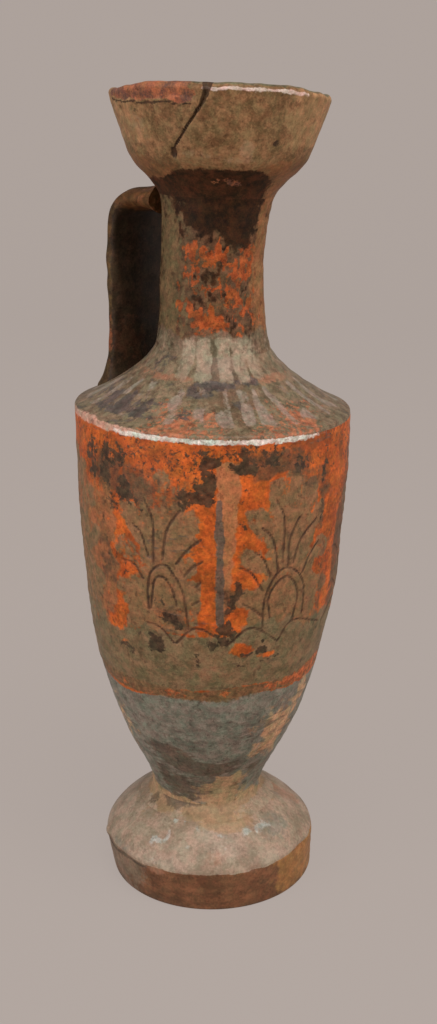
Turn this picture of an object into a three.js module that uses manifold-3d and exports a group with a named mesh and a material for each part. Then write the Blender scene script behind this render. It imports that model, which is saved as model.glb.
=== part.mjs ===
// A small shoulder flask for perfumed oil, thrown on the wheel in sections and luted together with slip.
// Millimetres, +Z up. It stands on z = 0 with its axis on the Z axis, and its front faces -Y.
import * as THREE from 'three';
import { mergeVertices } from 'three/addons/utils/BufferGeometryUtils.js';
import Module from 'manifold-3d';

// Joints
const slipThickness = 0.5; // layer of slip in each butt joint
const clearance = 0.3; // gap round each tenon and beside each pad of luting clay

// Foot: a disc with a domed top, hollowed below
const footBaseRadius = 21.0;
const footEdgeRadius = 21.8; // where the side meets the domed top
const footEdgeHeight = 8.4;
const footTopHeight = 16.2; // flat seat of the slip round the stem
const footSeatRadius = 14.2;
const restingEdgeRound = 0.5;
const hollowRadius = 12.0; // hollow under the foot, inside the resting ring
const hollowDepth = 4.0;

// Stem, with the tenon that enters the foot
const stemRadius = 11.3;
const stemTenonRadius = 7.6;
const stemTenonDepth = 4.5; // depth of the socket in the foot
const stemFilletHeight = 2.6; // band of slip between the foot and the stem

// Body
const bodyHeight = 80.6; // from the underside of the stem to the joint with the shoulder
const shoulderRadius = 26.75; // widest, at the shoulder's edge
const flareRadius = 16.2; // where the stem's hollow curve turns into the belly's full one
const flareHeight = 12.2; // above the underside of the stem
const bodyWall = 3.2;
const floorDip = 2.7; // how far the bowl's floor lies below the flare

// Shoulder
const shoulderRise = 12.0; // from its joint with the body to its joint with the neck
const shoulderEdgeFlat = 0.25; // upright band below the edge
const shoulderEdgeRound = 0.7;
const shoulderTopRadius = 11.2;
const shoulderCollarDepth = 5.5; // depth of the hole that takes the neck's tenon

// Neck
const neckHeight = 27.6;
const neckWaistRadius = 9.8;
const neckWaistHeight = 12.6; // above the joint with the shoulder
const neckTopRadius = 10.75;
const neckBoreRadius = 6.6; // leaves the neck's waist as thick as the body's wall
const neckTenonRadius = 8.8;
const neckTenonDepth = 4.5;

// Mouth
const mouthHeight = 19.5;
const mouthEdgeRadius = 16.06; // arris between the underside and the flaring wall
const mouthEdgeHeight = 5.5; // above the joint with the neck
const rimRadius = 20.4;
const rimDrop = 2.0; // from the lip's top down to its widest line
const lipTopRadius = 18.9;
const mouthWall = 3.1;
const mouthFloorHeight = 3.6; // inside, where the bore opens into the cup

// Handle: a strap in an upright plane behind and to the left
const handleTurn = THREE.MathUtils.degToRad(138); // from +X towards +Y
const handleWidth = 15.0;
const handleThickness = 4.0;
const handleInset = 7.85; // middle of the upright stretch, in from the edge of the shoulder
const handleStartRadius = 12.9; // upper end, beside the neck
const handleDrop = 1.2; // middle of the upper end below the neck's top
const handleBendRadius = 6.0; // height of the turn from outward to down
const handleRootInset = 6.05; // lower end, in from the edge of the shoulder
const handleRootLift = 3.4; // middle of the lower end above the shoulder
const handleRootBend = 7.0; // height over which the strap sweeps outward to its root
const padSpread = 2.6; // how much wider than the strap each pad of clay grows
const padThickening = 3.4; // how much thicker

// Steps of the curves and turns
const turnSteps = 48;
const curveSteps = 6;
const strapSteps = 7;
const strapCorners = 16; // points round the strap's section
const strapSquareness = 3.4; // 2 is an ellipse, more is squarer

// Heights of the joints, worked out upward from the table
const stemBase = footTopHeight + stemFilletHeight;
const bodyTop = stemBase + bodyHeight;
const shoulderBase = bodyTop + slipThickness;
const shoulderTop = shoulderBase + shoulderRise;
const neckBase = shoulderTop + slipThickness;
const neckTop = neckBase + neckHeight;
const mouthBase = neckTop + slipThickness;
const lipTop = mouthBase + mouthHeight;
const stemTenonBase = footTopHeight - stemTenonDepth;

// Where the handle stands, and where it comes down on the shoulder
const handleReach = shoulderRadius - handleInset;
const handleRootRadius = shoulderRadius - handleRootInset;

const wasm = await Module();
wasm.setup();

const point = (radius, height) => new THREE.Vector2(radius, height);

// A cubic curve between two points. Each pull is given as shares of the way out and of the way up.
function bend(start, end, startPull, endPull, steps = curveSteps) {
  const pulled = ([outShare, upShare]) =>
    point(start.x + outShare * (end.x - start.x), start.y + upShare * (end.y - start.y));
  return new THREE.CubicBezierCurve(start, pulled(startPull), pulled(endPull), end).getPoints(steps);
}

// Stretches of a profile joined into one line, each point once.
function outline(...stretches) {
  return stretches.flat().filter((spot, index, all) => index === 0 || spot.distanceTo(all[index - 1]) > 1e-6);
}

// A profile of (radius, height) turned round the Z axis.
function thrown(profile) {
  return new THREE.LatheGeometry(profile, turnSteps).rotateX(Math.PI / 2);
}

function piece(name, geometry, colour, roughness) {
  const mesh = new THREE.Mesh(geometry, new THREE.MeshStandardMaterial({ color: colour, roughness, metalness: 0 }));
  mesh.name = name;
  return mesh;
}

// Outer curves that more than one piece needs
const shoulderEdge = bend(
  point(shoulderRadius, shoulderBase + shoulderEdgeFlat),
  point(shoulderRadius - shoulderEdgeRound, shoulderBase + shoulderEdgeFlat + shoulderEdgeRound),
  [0, 0.6],
  [0.4, 0.95],
  3,
);
const shoulderSlope = bend(
  shoulderEdge[shoulderEdge.length - 1],
  point(shoulderTopRadius, shoulderTop),
  [0.43, 0.26],
  [0.85, 0.64],
  8,
);
const neckWaist = point(neckWaistRadius, neckBase + neckWaistHeight);
const neckLower = bend(point(shoulderTopRadius, neckBase), neckWaist, [0.6, 0.16], [1, 0.5], 4);
const neckUpper = bend(neckWaist, point(neckTopRadius, neckTop), [0, 0.4], [0.1, 0.76], 5);
const mouthEdge = point(mouthEdgeRadius, mouthBase + mouthEdgeHeight);
const mouthUnderside = bend(point(neckTopRadius, mouthBase), mouthEdge, [0.14, 0.33], [0.57, 0.8], 5);

function footPiece() {
  const seat = point(footSeatRadius, footTopHeight);
  const socketRadius = stemTenonRadius + clearance;
  const profile = outline(
    bend(point(0, hollowDepth), point(hollowRadius, 0), [0.6, 0], [0.92, 0.5], 5),
    bend(point(footBaseRadius - restingEdgeRound, 0), point(footBaseRadius, restingEdgeRound), [0.6, 0], [1, 0.4], 2),
    bend(point(footEdgeRadius, footEdgeHeight), seat, [0.026, 0.23], [0.447, 0.667]),
    [point(socketRadius, footTopHeight), point(socketRadius, stemTenonBase), point(0, stemTenonBase)],
  );
  return piece('foot', thrown(profile), 0x8a5a3c, 0.55);
}

function footJointSlip() {
  const innerRadius = stemTenonRadius + clearance;
  const profile = outline(
    [point(innerRadius, footTopHeight)],
    bend(point(footSeatRadius, footTopHeight), point(stemRadius, stemBase), [0.65, 0.42], [0.98, 0.7], 4),
    [point(innerRadius, stemBase), point(innerRadius, footTopHeight)],
  );
  return piece('foot_joint_slip', thrown(profile), 0x9c7a58, 0.8);
}

function bodyPiece() {
  const flare = point(flareRadius, stemBase + flareHeight);
  const bellyPulls = [[0.743, 0.234], [0.967, 0.512]];
  const innerFlare = point(flareRadius - bodyWall, flare.y);
  const floorMiddle = point(0, flare.y - floorDip);
  const bowl = bend(innerFlare, point(shoulderRadius - bodyWall, bodyTop), ...bellyPulls, 7);
  const profile = outline(
    [point(0, stemTenonBase), point(stemTenonRadius, stemTenonBase), point(stemTenonRadius, stemBase)],
    bend(point(stemRadius, stemBase), flare, [0, 0.3], [0.5, 0.59]),
    bend(flare, point(shoulderRadius, bodyTop), ...bellyPulls, 9),
    bowl.reverse(),
    bend(floorMiddle, innerFlare, [0.6, 0], [0.9, 0.4], 4).reverse(),
  );
  return piece('body_wall', thrown(profile), 0x8f7f6c, 0.5);
}

// A flat washer of slip between two sections.
function jointSlip(name, innerRadius, outerRadius, base) {
  const top = base + slipThickness;
  const profile = [
    point(innerRadius, base), point(outerRadius, base), point(outerRadius, top),
    point(innerRadius, top), point(innerRadius, base),
  ];
  return piece(name, thrown(profile), 0xa5714c, 0.85);
}

function shoulderPiece() {
  const holeRadius = neckTenonRadius + clearance;
  const innerEdge = point(shoulderRadius - bodyWall, shoulderBase);
  const collarFoot = point(holeRadius, shoulderTop - shoulderCollarDepth);
  const profile = outline(
    [innerEdge, point(shoulderRadius, shoulderBase)],
    shoulderEdge,
    shoulderSlope,
    [point(holeRadius, shoulderTop)],
    bend(collarFoot, innerEdge, [0.2, 0.34], [0.6, 0.78]),
  );
  return piece('shoulder', thrown(profile), 0x6f6a60, 0.45);
}

function neckPiece() {
  const tenonBase = shoulderTop - neckTenonDepth;
  const profile = outline(
    [point(neckBoreRadius, tenonBase), point(neckTenonRadius, tenonBase), point(neckTenonRadius, neckBase)],
    neckLower,
    neckUpper,
    [point(neckBoreRadius, neckTop), point(neckBoreRadius, tenonBase)],
  );
  return piece('neck', thrown(profile), 0x6b4a36, 0.6);
}

function mouthPiece() {
  const rim = point(rimRadius, lipTop - rimDrop);
  const innerLip = point(rimRadius - mouthWall, lipTop - rimDrop);
  const boreTop = point(neckBoreRadius, mouthBase + mouthFloorHeight);
  const profile = outline(
    [point(neckBoreRadius, mouthBase)],
    mouthUnderside,
    bend(mouthEdge, rim, [0.38, 0.34], [0.7, 0.67], 4),
    bend(rim, point(lipTopRadius, lipTop), [0, 0.55], [0.45, 1], 4),
    bend(point(lipTopRadius, lipTop), innerLip, [0.5, 0], [1, 0.45], 3),
    bend(innerLip, boreTop, [0.28, 0.55], [0.6, 0.93]),
    [point(neckBoreRadius, mouthBase)],
  );
  return piece('mouth', thrown(profile), 0x8a6a4c, 0.5);
}

// A solid carried through a row of stations in the handle's upright plane. Each station has its middle
// (radius, height), the direction across its thickness, its width and its thickness, and its section is a
// rounded rectangle: |across / half width| ^ n + |through / half thickness| ^ n = 1.
function strapSolid(stations) {
  const positions = [];
  const triangles = [];
  const power = 2 / strapSquareness;
  const rounded = (value) => Math.sign(value) * Math.abs(value) ** power;
  for (const { middle, through, width, thickness } of stations) {
    for (let corner = 0; corner < strapCorners; corner += 1) {
      const angle = (2 * Math.PI * corner) / strapCorners;
      const across = rounded(Math.cos(angle)) * width / 2;
      const out = rounded(Math.sin(angle)) * thickness / 2;
      positions.push(middle.x + out * through.x, across, middle.y + out * through.y);
    }
  }
  for (let row = 0; row + 1 < stations.length; row += 1) {
    for (let corner = 0; corner < strapCorners; corner += 1) {
      const here = row * strapCorners + corner;
      const beside = row * strapCorners + ((corner + 1) % strapCorners);
      triangles.push(here, beside, here + strapCorners);
      triangles.push(beside, beside + strapCorners, here + strapCorners);
    }
  }
  const lastRow = (stations.length - 1) * strapCorners;
  for (let corner = 1; corner + 1 < strapCorners; corner += 1) {
    triangles.push(0, corner + 1, corner);
    triangles.push(lastRow, lastRow + corner, lastRow + corner + 1);
  }
  const geometry = new THREE.BufferGeometry();
  geometry.setAttribute('position', new THREE.Float32BufferAttribute(positions, 3));
  geometry.setIndex(triangles);
  geometry.computeVertexNormals();
  return geometry;
}

// The handle's middle line: out from the neck, down, and outward again to the shoulder.
function handleLine() {
  const start = point(handleStartRadius, neckTop - handleDrop);
  const turned = point(handleReach, start.y - handleBendRadius);
  const root = point(handleRootRadius, shoulderHeightAt(handleRootRadius) + handleRootLift);
  const leaving = point(handleReach, root.y + handleRootBend);
  return outline(
    bend(start, turned, [0.72, 0.01], [1, 0.25], strapSteps),
    bend(turned, leaving, [0, 0.33], [0, 0.67], 3),
    bend(leaving, root, [0, 0.45], [0.38, 0.78], strapSteps),
  );
}

// Height of the shoulder's slope at a radius, between the points of its curve.
function shoulderHeightAt(radius) {
  const above = shoulderSlope.findIndex((spot) => spot.x <= radius);
  const inner = shoulderSlope[above];
  const outer = shoulderSlope[above - 1];
  return outer.y + ((outer.x - radius) / (outer.x - inner.x)) * (inner.y - outer.y);
}

// Direction across a line's thickness at one of its points, on the left of its way.
function throughAt(line, index) {
  const before = line[Math.max(index - 1, 0)];
  const after = line[Math.min(index + 1, line.length - 1)];
  const way = after.clone().sub(before).normalize();
  return point(-way.y, way.x);
}

function handlePiece(line) {
  const stations = line.map((middle, index) => ({
    middle,
    through: throughAt(line, index),
    width: handleWidth,
    thickness: handleThickness,
  }));
  return piece('handle', strapSolid(stations), 0x4a3c33, 0.45);
}

function solidOf(geometry) {
  const bare = geometry.clone();
  bare.deleteAttribute('normal');
  bare.deleteAttribute('uv');
  const merged = mergeVertices(bare, 1e-4);
  const corners = merged.index.array;
  const kept = [];
  for (let at = 0; at < corners.length; at += 3) {
    const [a, b, c] = corners.slice(at, at + 3);
    if (a !== b && b !== c && c !== a) kept.push(a, b, c);
  }
  return new wasm.Manifold(new wasm.Mesh({
    numProp: 3,
    vertProperties: merged.attributes.position.array,
    triVerts: new Uint32Array(kept),
  }));
}

function geometryOf(solid) {
  const mesh = solid.getMesh();
  const geometry = new THREE.BufferGeometry();
  geometry.setAttribute('position', new THREE.BufferAttribute(mesh.vertProperties, 3));
  geometry.setIndex(new THREE.BufferAttribute(mesh.triVerts, 1));
  geometry.computeVertexNormals();
  return geometry;
}

// A pad of luting clay: it goes on from an end of the strap, widens, and is cut to lie against the pot.
function lutingPad(name, end, way, length, cutterProfile) {
  const through = point(-way.y, way.x);
  const stations = [];
  for (let step = 0; step <= strapSteps; step += 1) {
    const share = step / strapSteps;
    const swell = Math.sin((share * Math.PI) / 2);
    stations.push({
      middle: end.clone().addScaledVector(way, clearance + share * length),
      through,
      width: handleWidth + swell * padSpread,
      thickness: handleThickness + swell * padThickening,
    });
  }
  const pad = solidOf(strapSolid(stations)).subtract(solidOf(thrown(cutterProfile)));
  return piece(name, geometryOf(pad), 0x7d5a42, 0.7);
}

const grown = (stretch, out, up) => stretch.map((spot) => point(spot.x + out, spot.y + up));

function handleParts() {
  const line = handleLine();
  const upperEnd = line[0];
  const lowerEnd = line[line.length - 1];
  const inward = upperEnd.clone().sub(line[1]).normalize();
  const downward = lowerEnd.clone().sub(line[line.length - 2]).normalize();
  const neckCutter = outline(
    [point(0, neckBase)],
    grown(neckLower, clearance, 0),
    grown(neckUpper, clearance, 0),
    grown(mouthUnderside, clearance, -clearance / 2),
    [point(0, mouthEdge.y)],
  );
  const shoulderCutter = outline(
    [point(0, shoulderBase - shoulderRise), point(shoulderRadius + clearance, shoulderBase - shoulderRise)],
    grown(shoulderEdge, clearance, clearance),
    grown(shoulderSlope, clearance, clearance),
    [point(0, shoulderTop + clearance)],
  );
  const turned = new THREE.Group();
  turned.rotation.z = handleTurn;
  turned.add(
    handlePiece(line),
    lutingPad('handle_upper_luting', upperEnd, inward, handleStartRadius / 2, neckCutter),
    lutingPad('handle_lower_luting', lowerEnd, downward, 2 * handleRootLift, shoulderCutter),
  );
  return turned;
}

const pot = new THREE.Group();
pot.add(
  footPiece(),
  footJointSlip(),
  bodyPiece(),
  jointSlip('shoulder_joint_slip', shoulderRadius - bodyWall, shoulderRadius, bodyTop),
  shoulderPiece(),
  jointSlip('neck_joint_slip', neckTenonRadius + clearance, shoulderTopRadius, shoulderTop),
  neckPiece(),
  jointSlip('mouth_joint_slip', neckBoreRadius, neckTopRadius, neckTop),
  mouthPiece(),
  handleParts(),
);

export default pot;
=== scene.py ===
import math

import bpy
import numpy as np
from mathutils import Matrix, Vector


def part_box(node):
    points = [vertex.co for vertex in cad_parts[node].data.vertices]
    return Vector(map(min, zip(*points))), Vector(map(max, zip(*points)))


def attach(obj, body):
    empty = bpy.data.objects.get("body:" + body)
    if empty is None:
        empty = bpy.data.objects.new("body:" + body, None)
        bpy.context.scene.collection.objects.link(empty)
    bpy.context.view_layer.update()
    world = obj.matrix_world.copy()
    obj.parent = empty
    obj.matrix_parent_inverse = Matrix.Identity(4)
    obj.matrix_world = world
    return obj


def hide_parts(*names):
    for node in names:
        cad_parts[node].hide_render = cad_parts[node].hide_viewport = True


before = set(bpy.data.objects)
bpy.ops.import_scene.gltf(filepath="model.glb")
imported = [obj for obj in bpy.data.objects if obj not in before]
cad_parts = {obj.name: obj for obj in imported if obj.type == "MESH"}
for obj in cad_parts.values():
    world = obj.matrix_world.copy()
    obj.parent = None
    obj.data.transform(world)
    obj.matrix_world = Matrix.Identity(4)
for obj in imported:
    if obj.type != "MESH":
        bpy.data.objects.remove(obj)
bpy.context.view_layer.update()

# A shoulder flask for perfumed oil. Shapes are worked out in millimetres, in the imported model's frame,
# and go into the meshes in metres. Turn 0 is the front, -Y, and positive turns go to the right, to +X.

mm = 0.001


def nodeBox(node):
    # lowest and highest corner of a node, in millimetres
    return [np.array(corner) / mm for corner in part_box(node)]


heights = {
    "footTop": nodeBox("foot_joint_slip")[0][2],
    "stemBase": nodeBox("foot_joint_slip")[1][2],
    "bodyTop": nodeBox("shoulder_joint_slip")[0][2],
    "shoulderBase": nodeBox("shoulder_joint_slip")[1][2],
    "shoulderTop": nodeBox("neck_joint_slip")[0][2],
    "neckBase": nodeBox("neck_joint_slip")[1][2],
    "neckTop": nodeBox("mouth_joint_slip")[0][2],
    "mouthBase": nodeBox("mouth_joint_slip")[1][2],
    "lipTop": nodeBox("mouth")[1][2],
}
radii = {
    "footEdge": nodeBox("foot")[1][0],
    "shoulder": nodeBox("shoulder")[1][0],
    "shoulderTop": nodeBox("neck_joint_slip")[1][0],
    "neckTop": nodeBox("mouth_joint_slip")[1][0],
    "rim": nodeBox("mouth")[1][0],
    "stem": 11.3,
    "stemHole": 7.9,
    "bore": 6.6,
    "neckTenon": 8.8,
    "neckHole": 9.1,
}
print("frame loaded:", len(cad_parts), "nodes")

# The pot as it was fired: its axis wanders a little and its upper parts dip to the right.
lean = {
    "heights": [0, 16, 40, 100, 130, 146, 160],
    "shifts": [0, -1.26, -0.7, 0.7, 0.6, 1.94, 2.21],  # to the right, mm
    "dips": [0, 0, 0.0346, 0.0346, 0.0346, 0.0374, 0.0374],  # fall to the right for each mm out
    "smoothing": 4.0,
}

# Marks of the wheel and of uneven walls, in mm
wheel = {"ringSpacing": 2.3, "ringDepth": 0.045, "lumpDepth": 0.11, "wearDepth": 0.03}


def leaned(points):
    # x plus a shift that depends on z, and z less a share of x that depends on z; both shares are
    # averaged over a short stretch of height, so that no kink shows
    x, y, z = points[..., 0], points[..., 1], points[..., 2]
    offsets = np.linspace(-1, 1, 5) * lean["smoothing"]
    shift = sum(np.interp(z + o, lean["heights"], lean["shifts"]) for o in offsets) / len(offsets)
    dip = sum(np.interp(z + o, lean["heights"], lean["dips"]) for o in offsets) / len(offsets)
    ground = np.clip(z / 2.0, 0, 1)  # the resting ring stays flat on the table
    return np.stack([x + shift * ground, y, z - dip * x], axis=-1)


def waves(turn, height, wide, tall, seed, count=40):
    # sum of cosines of random phase, each with a whole number of waves round the pot, about `wide` mm
    # by `tall` mm in size; its mean is 0 and its spread 1
    random = np.random.default_rng(seed)
    aroundPot = 2 * math.pi * 22.0
    total = np.zeros(np.broadcast(turn, height).shape)
    for _ in range(count):
        wavesRound = round(random.normal(0, aroundPot / wide / 2))
        upward = random.normal(0, math.pi / tall)
        total += np.cos(wavesRound * np.radians(turn) + upward * height + random.uniform(0, 2 * math.pi))
    return total / math.sqrt(count / 2)


def smooth(value, low, high):
    # 0 below low, 1 above high, and a smooth step between them
    share = np.clip((value - low) / (high - low), 0, 1)
    return share * share * (3 - 2 * share)


def bell(value, middle, width):
    return np.exp(-(((value - middle) / width) ** 2))


def turnGap(turn, middle):
    # degrees from one turn to another, the short way round
    return (turn - middle + 180) % 360 - 180


def patch(turn, height, radius, spots):
    # highest of the spots at each point; a spot is (turn, height, half width mm, half height mm,
    # strength) with an optional tilt in degrees: strength times exp(-(distance in half widths)^3)
    best = np.zeros(np.broadcast(turn, height).shape)
    for spot in spots:
        middleTurn, middleHeight, wide, tall, strength = spot[:5]
        tilt = math.radians(spot[5]) if len(spot) > 5 else 0.0
        across = np.radians(turnGap(turn, middleTurn)) * radius
        up = height - middleHeight
        along = across * math.cos(tilt) + up * math.sin(tilt)
        aside = up * math.cos(tilt) - across * math.sin(tilt)
        distance = np.sqrt((along / wide) ** 2 + (aside / tall) ** 2)
        best = np.maximum(best, strength * np.exp(-distance ** 3))
    return best


def strokeDistance(turn, height, radius, strokes):
    # distance in mm on the unrolled wall to the nearest stroke, which is a smooth line through its points
    across = np.radians(turn) * radius
    nearest = np.full(np.broadcast(turn, height).shape, 99.0)
    for stroke in strokes:
        line = smoothLine(np.array([(math.radians(a) * radius, z) for a, z in stroke]), 9)
        for start, end in zip(line[:-1], line[1:]):
            nearest = np.minimum(nearest, segmentDistance(across, height, start, end))
    return nearest


def segmentDistance(across, height, start, end):
    # distance from each point to a straight segment
    way = end - start
    share = ((across - start[0]) * way[0] + (height - start[1]) * way[1]) / max(way @ way, 1e-9)
    share = np.clip(share, 0, 1)
    return np.hypot(across - start[0] - share * way[0], height - start[1] - share * way[1])


def smoothLine(points, steps):
    # Catmull-Rom line: each stretch leaves and reaches its points along the line between neighbours
    ends = np.vstack([2 * points[0] - points[1], points, 2 * points[-1] - points[-2]])
    share = np.linspace(0, 1, steps, endpoint=False)[:, None]
    rows = []
    for a, b, c, d in zip(ends[:-3], ends[1:-2], ends[2:-1], ends[3:]):
        bow = 2 * a - 5 * b + 4 * c - d
        twist = 3 * b - a - 3 * c + d
        rows.append(0.5 * (2 * b + (c - a) * share + bow * share ** 2 + twist * share ** 3))
    return np.vstack(rows + [points[-1:]])


def bend(start, end, startPull, endPull, step=0.43):
    # cubic curve between two points (radius, height), each pull a share of the way out and of the way up
    start, end = np.array(start, float), np.array(end, float)
    first = start + np.array(startPull) * (end - start)
    second = start + np.array(endPull) * (end - start)
    count = max(2, math.ceil(np.hypot(*(end - start)) / step) + 1)
    share = np.linspace(0, 1, count)[:, None]
    rest = 1 - share
    return rest ** 3 * start + 3 * rest ** 2 * share * first + 3 * rest * share ** 2 * second + share ** 3 * end


def straight(start, end, step=0.43):
    return bend(start, end, (1 / 3, 1 / 3), (2 / 3, 2 / 3), step)


def joined(*stretches):
    # stretches of a profile in one line, each point once
    line = np.vstack(stretches)
    fresh = np.append(True, np.hypot(*np.diff(line, axis=0).T) > 1e-4)
    return line[fresh]


def softened(line, reach):
    # each point moves to the mean of its neighbours up to `reach` points away, and fewer near the ends,
    # so that a corner of the profile turns into a bend
    rows = []
    for number in range(len(line)):
        around = min(reach, number, len(line) - 1 - number)
        rows.append(line[number - around:number + around + 1].mean(0))
    return np.array(rows)


def wallShift(turn, height):
    # how far the outer wall stands off its true circle: rings of the wheel, slow lumps and fine wear
    phase = 2 * math.pi * height / wheel["ringSpacing"] + 0.8 * waves(turn, height, 60, 40, 11)
    rings = np.sin(phase) * (0.6 + 0.4 * waves(turn, height, 50, 25, 12))
    lumps = waves(turn, height, 30, 16, 13)
    wear = waves(turn, height, 5, 4, 14, 60)
    return wheel["ringDepth"] * rings + wheel["lumpDepth"] * lumps + wheel["wearDepth"] * wear


def turned(profile, columns, outside, extraShift=None):
    # a profile (radius, height) carried round the axis. `outside` is 1 where a row is on the outer wall and
    # 0 where it is hidden; outer rows stand off by wallShift. Returns the grid and its turns and heights.
    turn = np.linspace(-180, 180, columns, endpoint=False)[None, :]
    height = np.repeat(profile[:, 1][:, None], columns, axis=1)
    turn = np.repeat(turn, len(profile), axis=0)
    radius = profile[:, 0][:, None] + outside[:, None] * wallShift(turn, height)
    if extraShift is not None:
        radius = radius + extraShift(turn, height, outside[:, None])
    radius = np.where(profile[:, 0][:, None] < 0.01, 0, radius)
    angle = np.radians(turn)
    grid = np.stack([radius * np.sin(angle), -radius * np.cos(angle), height], axis=-1)
    return grid, turn, height


def spread(values, grid):
    # one value for each row of the grid, repeated along its columns
    return np.repeat(values[:, None], grid.shape[1], axis=1)


def addPiece(name, grid, fields, closed, sharpAngle=38):
    # a mesh of the grid's quads; columns join round, rows too if closed, and otherwise each end row
    # is drawn together in a middle point
    rows, columns = grid.shape[:2]
    points = grid.reshape(-1, 3)
    index = np.arange(rows * columns).reshape(rows, columns)
    below = index if closed else index[:-1]
    above = np.roll(index, -1, axis=0) if closed else index[1:]
    quads = np.stack([below, np.roll(below, -1, 1), np.roll(above, -1, 1), above], axis=-1).reshape(-1, 4)
    fans = np.empty((0, 3), int)
    if not closed:
        middles = np.stack([grid[0].mean(0), grid[-1].mean(0)])
        points = np.vstack([points, middles])
        first, last = rows * columns, rows * columns + 1
        low, high = index[0], index[-1]
        lowFan = np.stack([np.full(columns, first), np.roll(low, -1), low], axis=-1)
        highFan = np.stack([np.full(columns, last), high, np.roll(high, -1)], axis=-1)
        fans = np.vstack([lowFan, highFan])
    corners = np.concatenate([quads.ravel(), fans.ravel()])
    starts = np.concatenate([np.arange(len(quads)) * 4, quads.size + np.arange(len(fans)) * 3])
    mesh = bpy.data.meshes.new(name)
    mesh.vertices.add(len(points))
    mesh.vertices.foreach_set("co", (leaned(points) * mm).astype(np.float32).ravel())
    mesh.loops.add(len(corners))
    mesh.loops.foreach_set("vertex_index", corners.astype(np.int32))
    mesh.polygons.add(len(starts))
    mesh.polygons.foreach_set("loop_start", starts.astype(np.int32))
    mesh.update(calc_edges=True)
    mesh.validate()
    for field, values in fields.items():
        flat = np.broadcast_to(values, (rows, columns)).ravel()
        if not closed:
            flat = np.concatenate([flat, [np.mean(values[0]), np.mean(values[-1])]])
        mesh.attributes.new(field, "FLOAT", "POINT").data.foreach_set("value", flat.astype(np.float32))
    mesh.shade_smooth()
    mesh.set_sharp_from_angle(angle=math.radians(sharpAngle))
    piece = bpy.data.objects.new(name, mesh)
    bpy.context.scene.collection.objects.link(piece)
    print("made", name, "with", len(starts), "faces")
    return piece


def finishPiece(piece, material, slot, *nodes):
    piece.data.materials.append(material)
    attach(piece, "root")
    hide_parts(*nodes)


# Materials. Sizes given to them are in millimetres; a noise of scale 1 / size repeats about once a size.
def socketed(name, inputs, outputs):
    # a new shader node group with its named inputs and outputs
    group = bpy.data.node_groups.new(name, "ShaderNodeTree")
    for socketName, kind, value in inputs:
        socket = group.interface.new_socket(name=socketName, in_out="INPUT", socket_type=kind)
        if value is not None:
            socket.default_value = value
    for socketName, kind in outputs:
        group.interface.new_socket(name=socketName, in_out="OUTPUT", socket_type=kind)
    return group, group.nodes.new("NodeGroupInput").outputs, group.nodes.new("NodeGroupOutput").inputs


def plug(tree, value, socket):
    # a number or colour goes onto the socket, and another node's output is linked to it
    if isinstance(value, bpy.types.NodeSocket):
        tree.links.new(value, socket)
    else:
        socket.default_value = value


def calc(tree, operation, *values):
    node = tree.nodes.new("ShaderNodeMath")
    node.operation = operation
    for value, socket in zip(values, node.inputs):
        plug(tree, value, socket)
    return node.outputs[0]


def ranged(tree, value, low, high, start=0.0, end=1.0, kind="SMOOTHSTEP"):
    node = tree.nodes.new("ShaderNodeMapRange")
    node.interpolation_type = kind
    for name, given in (("Value", value), ("From Min", low), ("From Max", high),
                        ("To Min", start), ("To Max", end)):
        plug(tree, given, node.inputs[name])
    return node.outputs["Result"]


def mixed(tree, share, first, second, way="MIX"):
    node = tree.nodes.new("ShaderNodeMix")
    node.data_type = "RGBA"
    node.blend_type = way
    plug(tree, share, node.inputs[0])
    plug(tree, first, node.inputs[6])
    plug(tree, second, node.inputs[7])
    return node.outputs[2]


def scaled(tree, vector, factors):
    node = tree.nodes.new("ShaderNodeVectorMath")
    node.operation = "MULTIPLY"
    plug(tree, vector, node.inputs[0])
    plug(tree, factors, node.inputs[1])
    return node.outputs[0]


def cloud(tree, vector, size, detail=4.0, roughness=0.55, distortion=0.0):
    # soft noise whose features are about `size` mm
    node = tree.nodes.new("ShaderNodeTexNoise")
    plug(tree, vector, node.inputs["Vector"])
    plug(tree, calc(tree, "DIVIDE", 1 / mm, size), node.inputs["Scale"])
    node.inputs["Detail"].default_value = detail
    node.inputs["Roughness"].default_value = roughness
    node.inputs["Distortion"].default_value = distortion
    return node.outputs["Fac"]


def makeMottled():
    # two colours mixed by a slow cloud and a fine one
    inputs = [("Vector", "NodeSocketVector", None), ("Dark", "NodeSocketColor", None),
              ("Bright", "NodeSocketColor", None), ("Size", "NodeSocketFloat", 6.0)]
    group, given, put = socketed("mottledClay", inputs, [("Color", "NodeSocketColor")])
    slow = cloud(group, given["Vector"], given["Size"], 3.0)
    fine = cloud(group, given["Vector"], calc(group, "MULTIPLY", given["Size"], 0.13), 3.0, 0.65)
    both = calc(group, "ADD", calc(group, "MULTIPLY", slow, 0.6), calc(group, "MULTIPLY", fine, 0.4))
    group.links.new(mixed(group, ranged(group, both, 0.36, 0.64), given["Dark"], given["Bright"]), put["Color"])
    return group


def makeFlakes():
    # a mask with ragged edges: 1 where a noise, spread from 0 to 1, lies below the amount
    inputs = [("Vector", "NodeSocketVector", None), ("Amount", "NodeSocketFloat", 0.5),
              ("Size", "NodeSocketFloat", 3.0), ("Softness", "NodeSocketFloat", 0.1)]
    group, given, put = socketed("flakingFilm", inputs, [("Mask", "NodeSocketFloat")])
    rank = ranged(group, cloud(group, given["Vector"], given["Size"], 6.0, 0.66, 0.25), 0.3, 0.7, kind="LINEAR")
    wider = calc(group, "ADD", 1.0, given["Softness"])
    reach = calc(group, "SUBTRACT", calc(group, "MULTIPLY", given["Amount"], wider), rank)
    group.links.new(ranged(group, reach, 0.0, given["Softness"]), put["Mask"])
    return group


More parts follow.
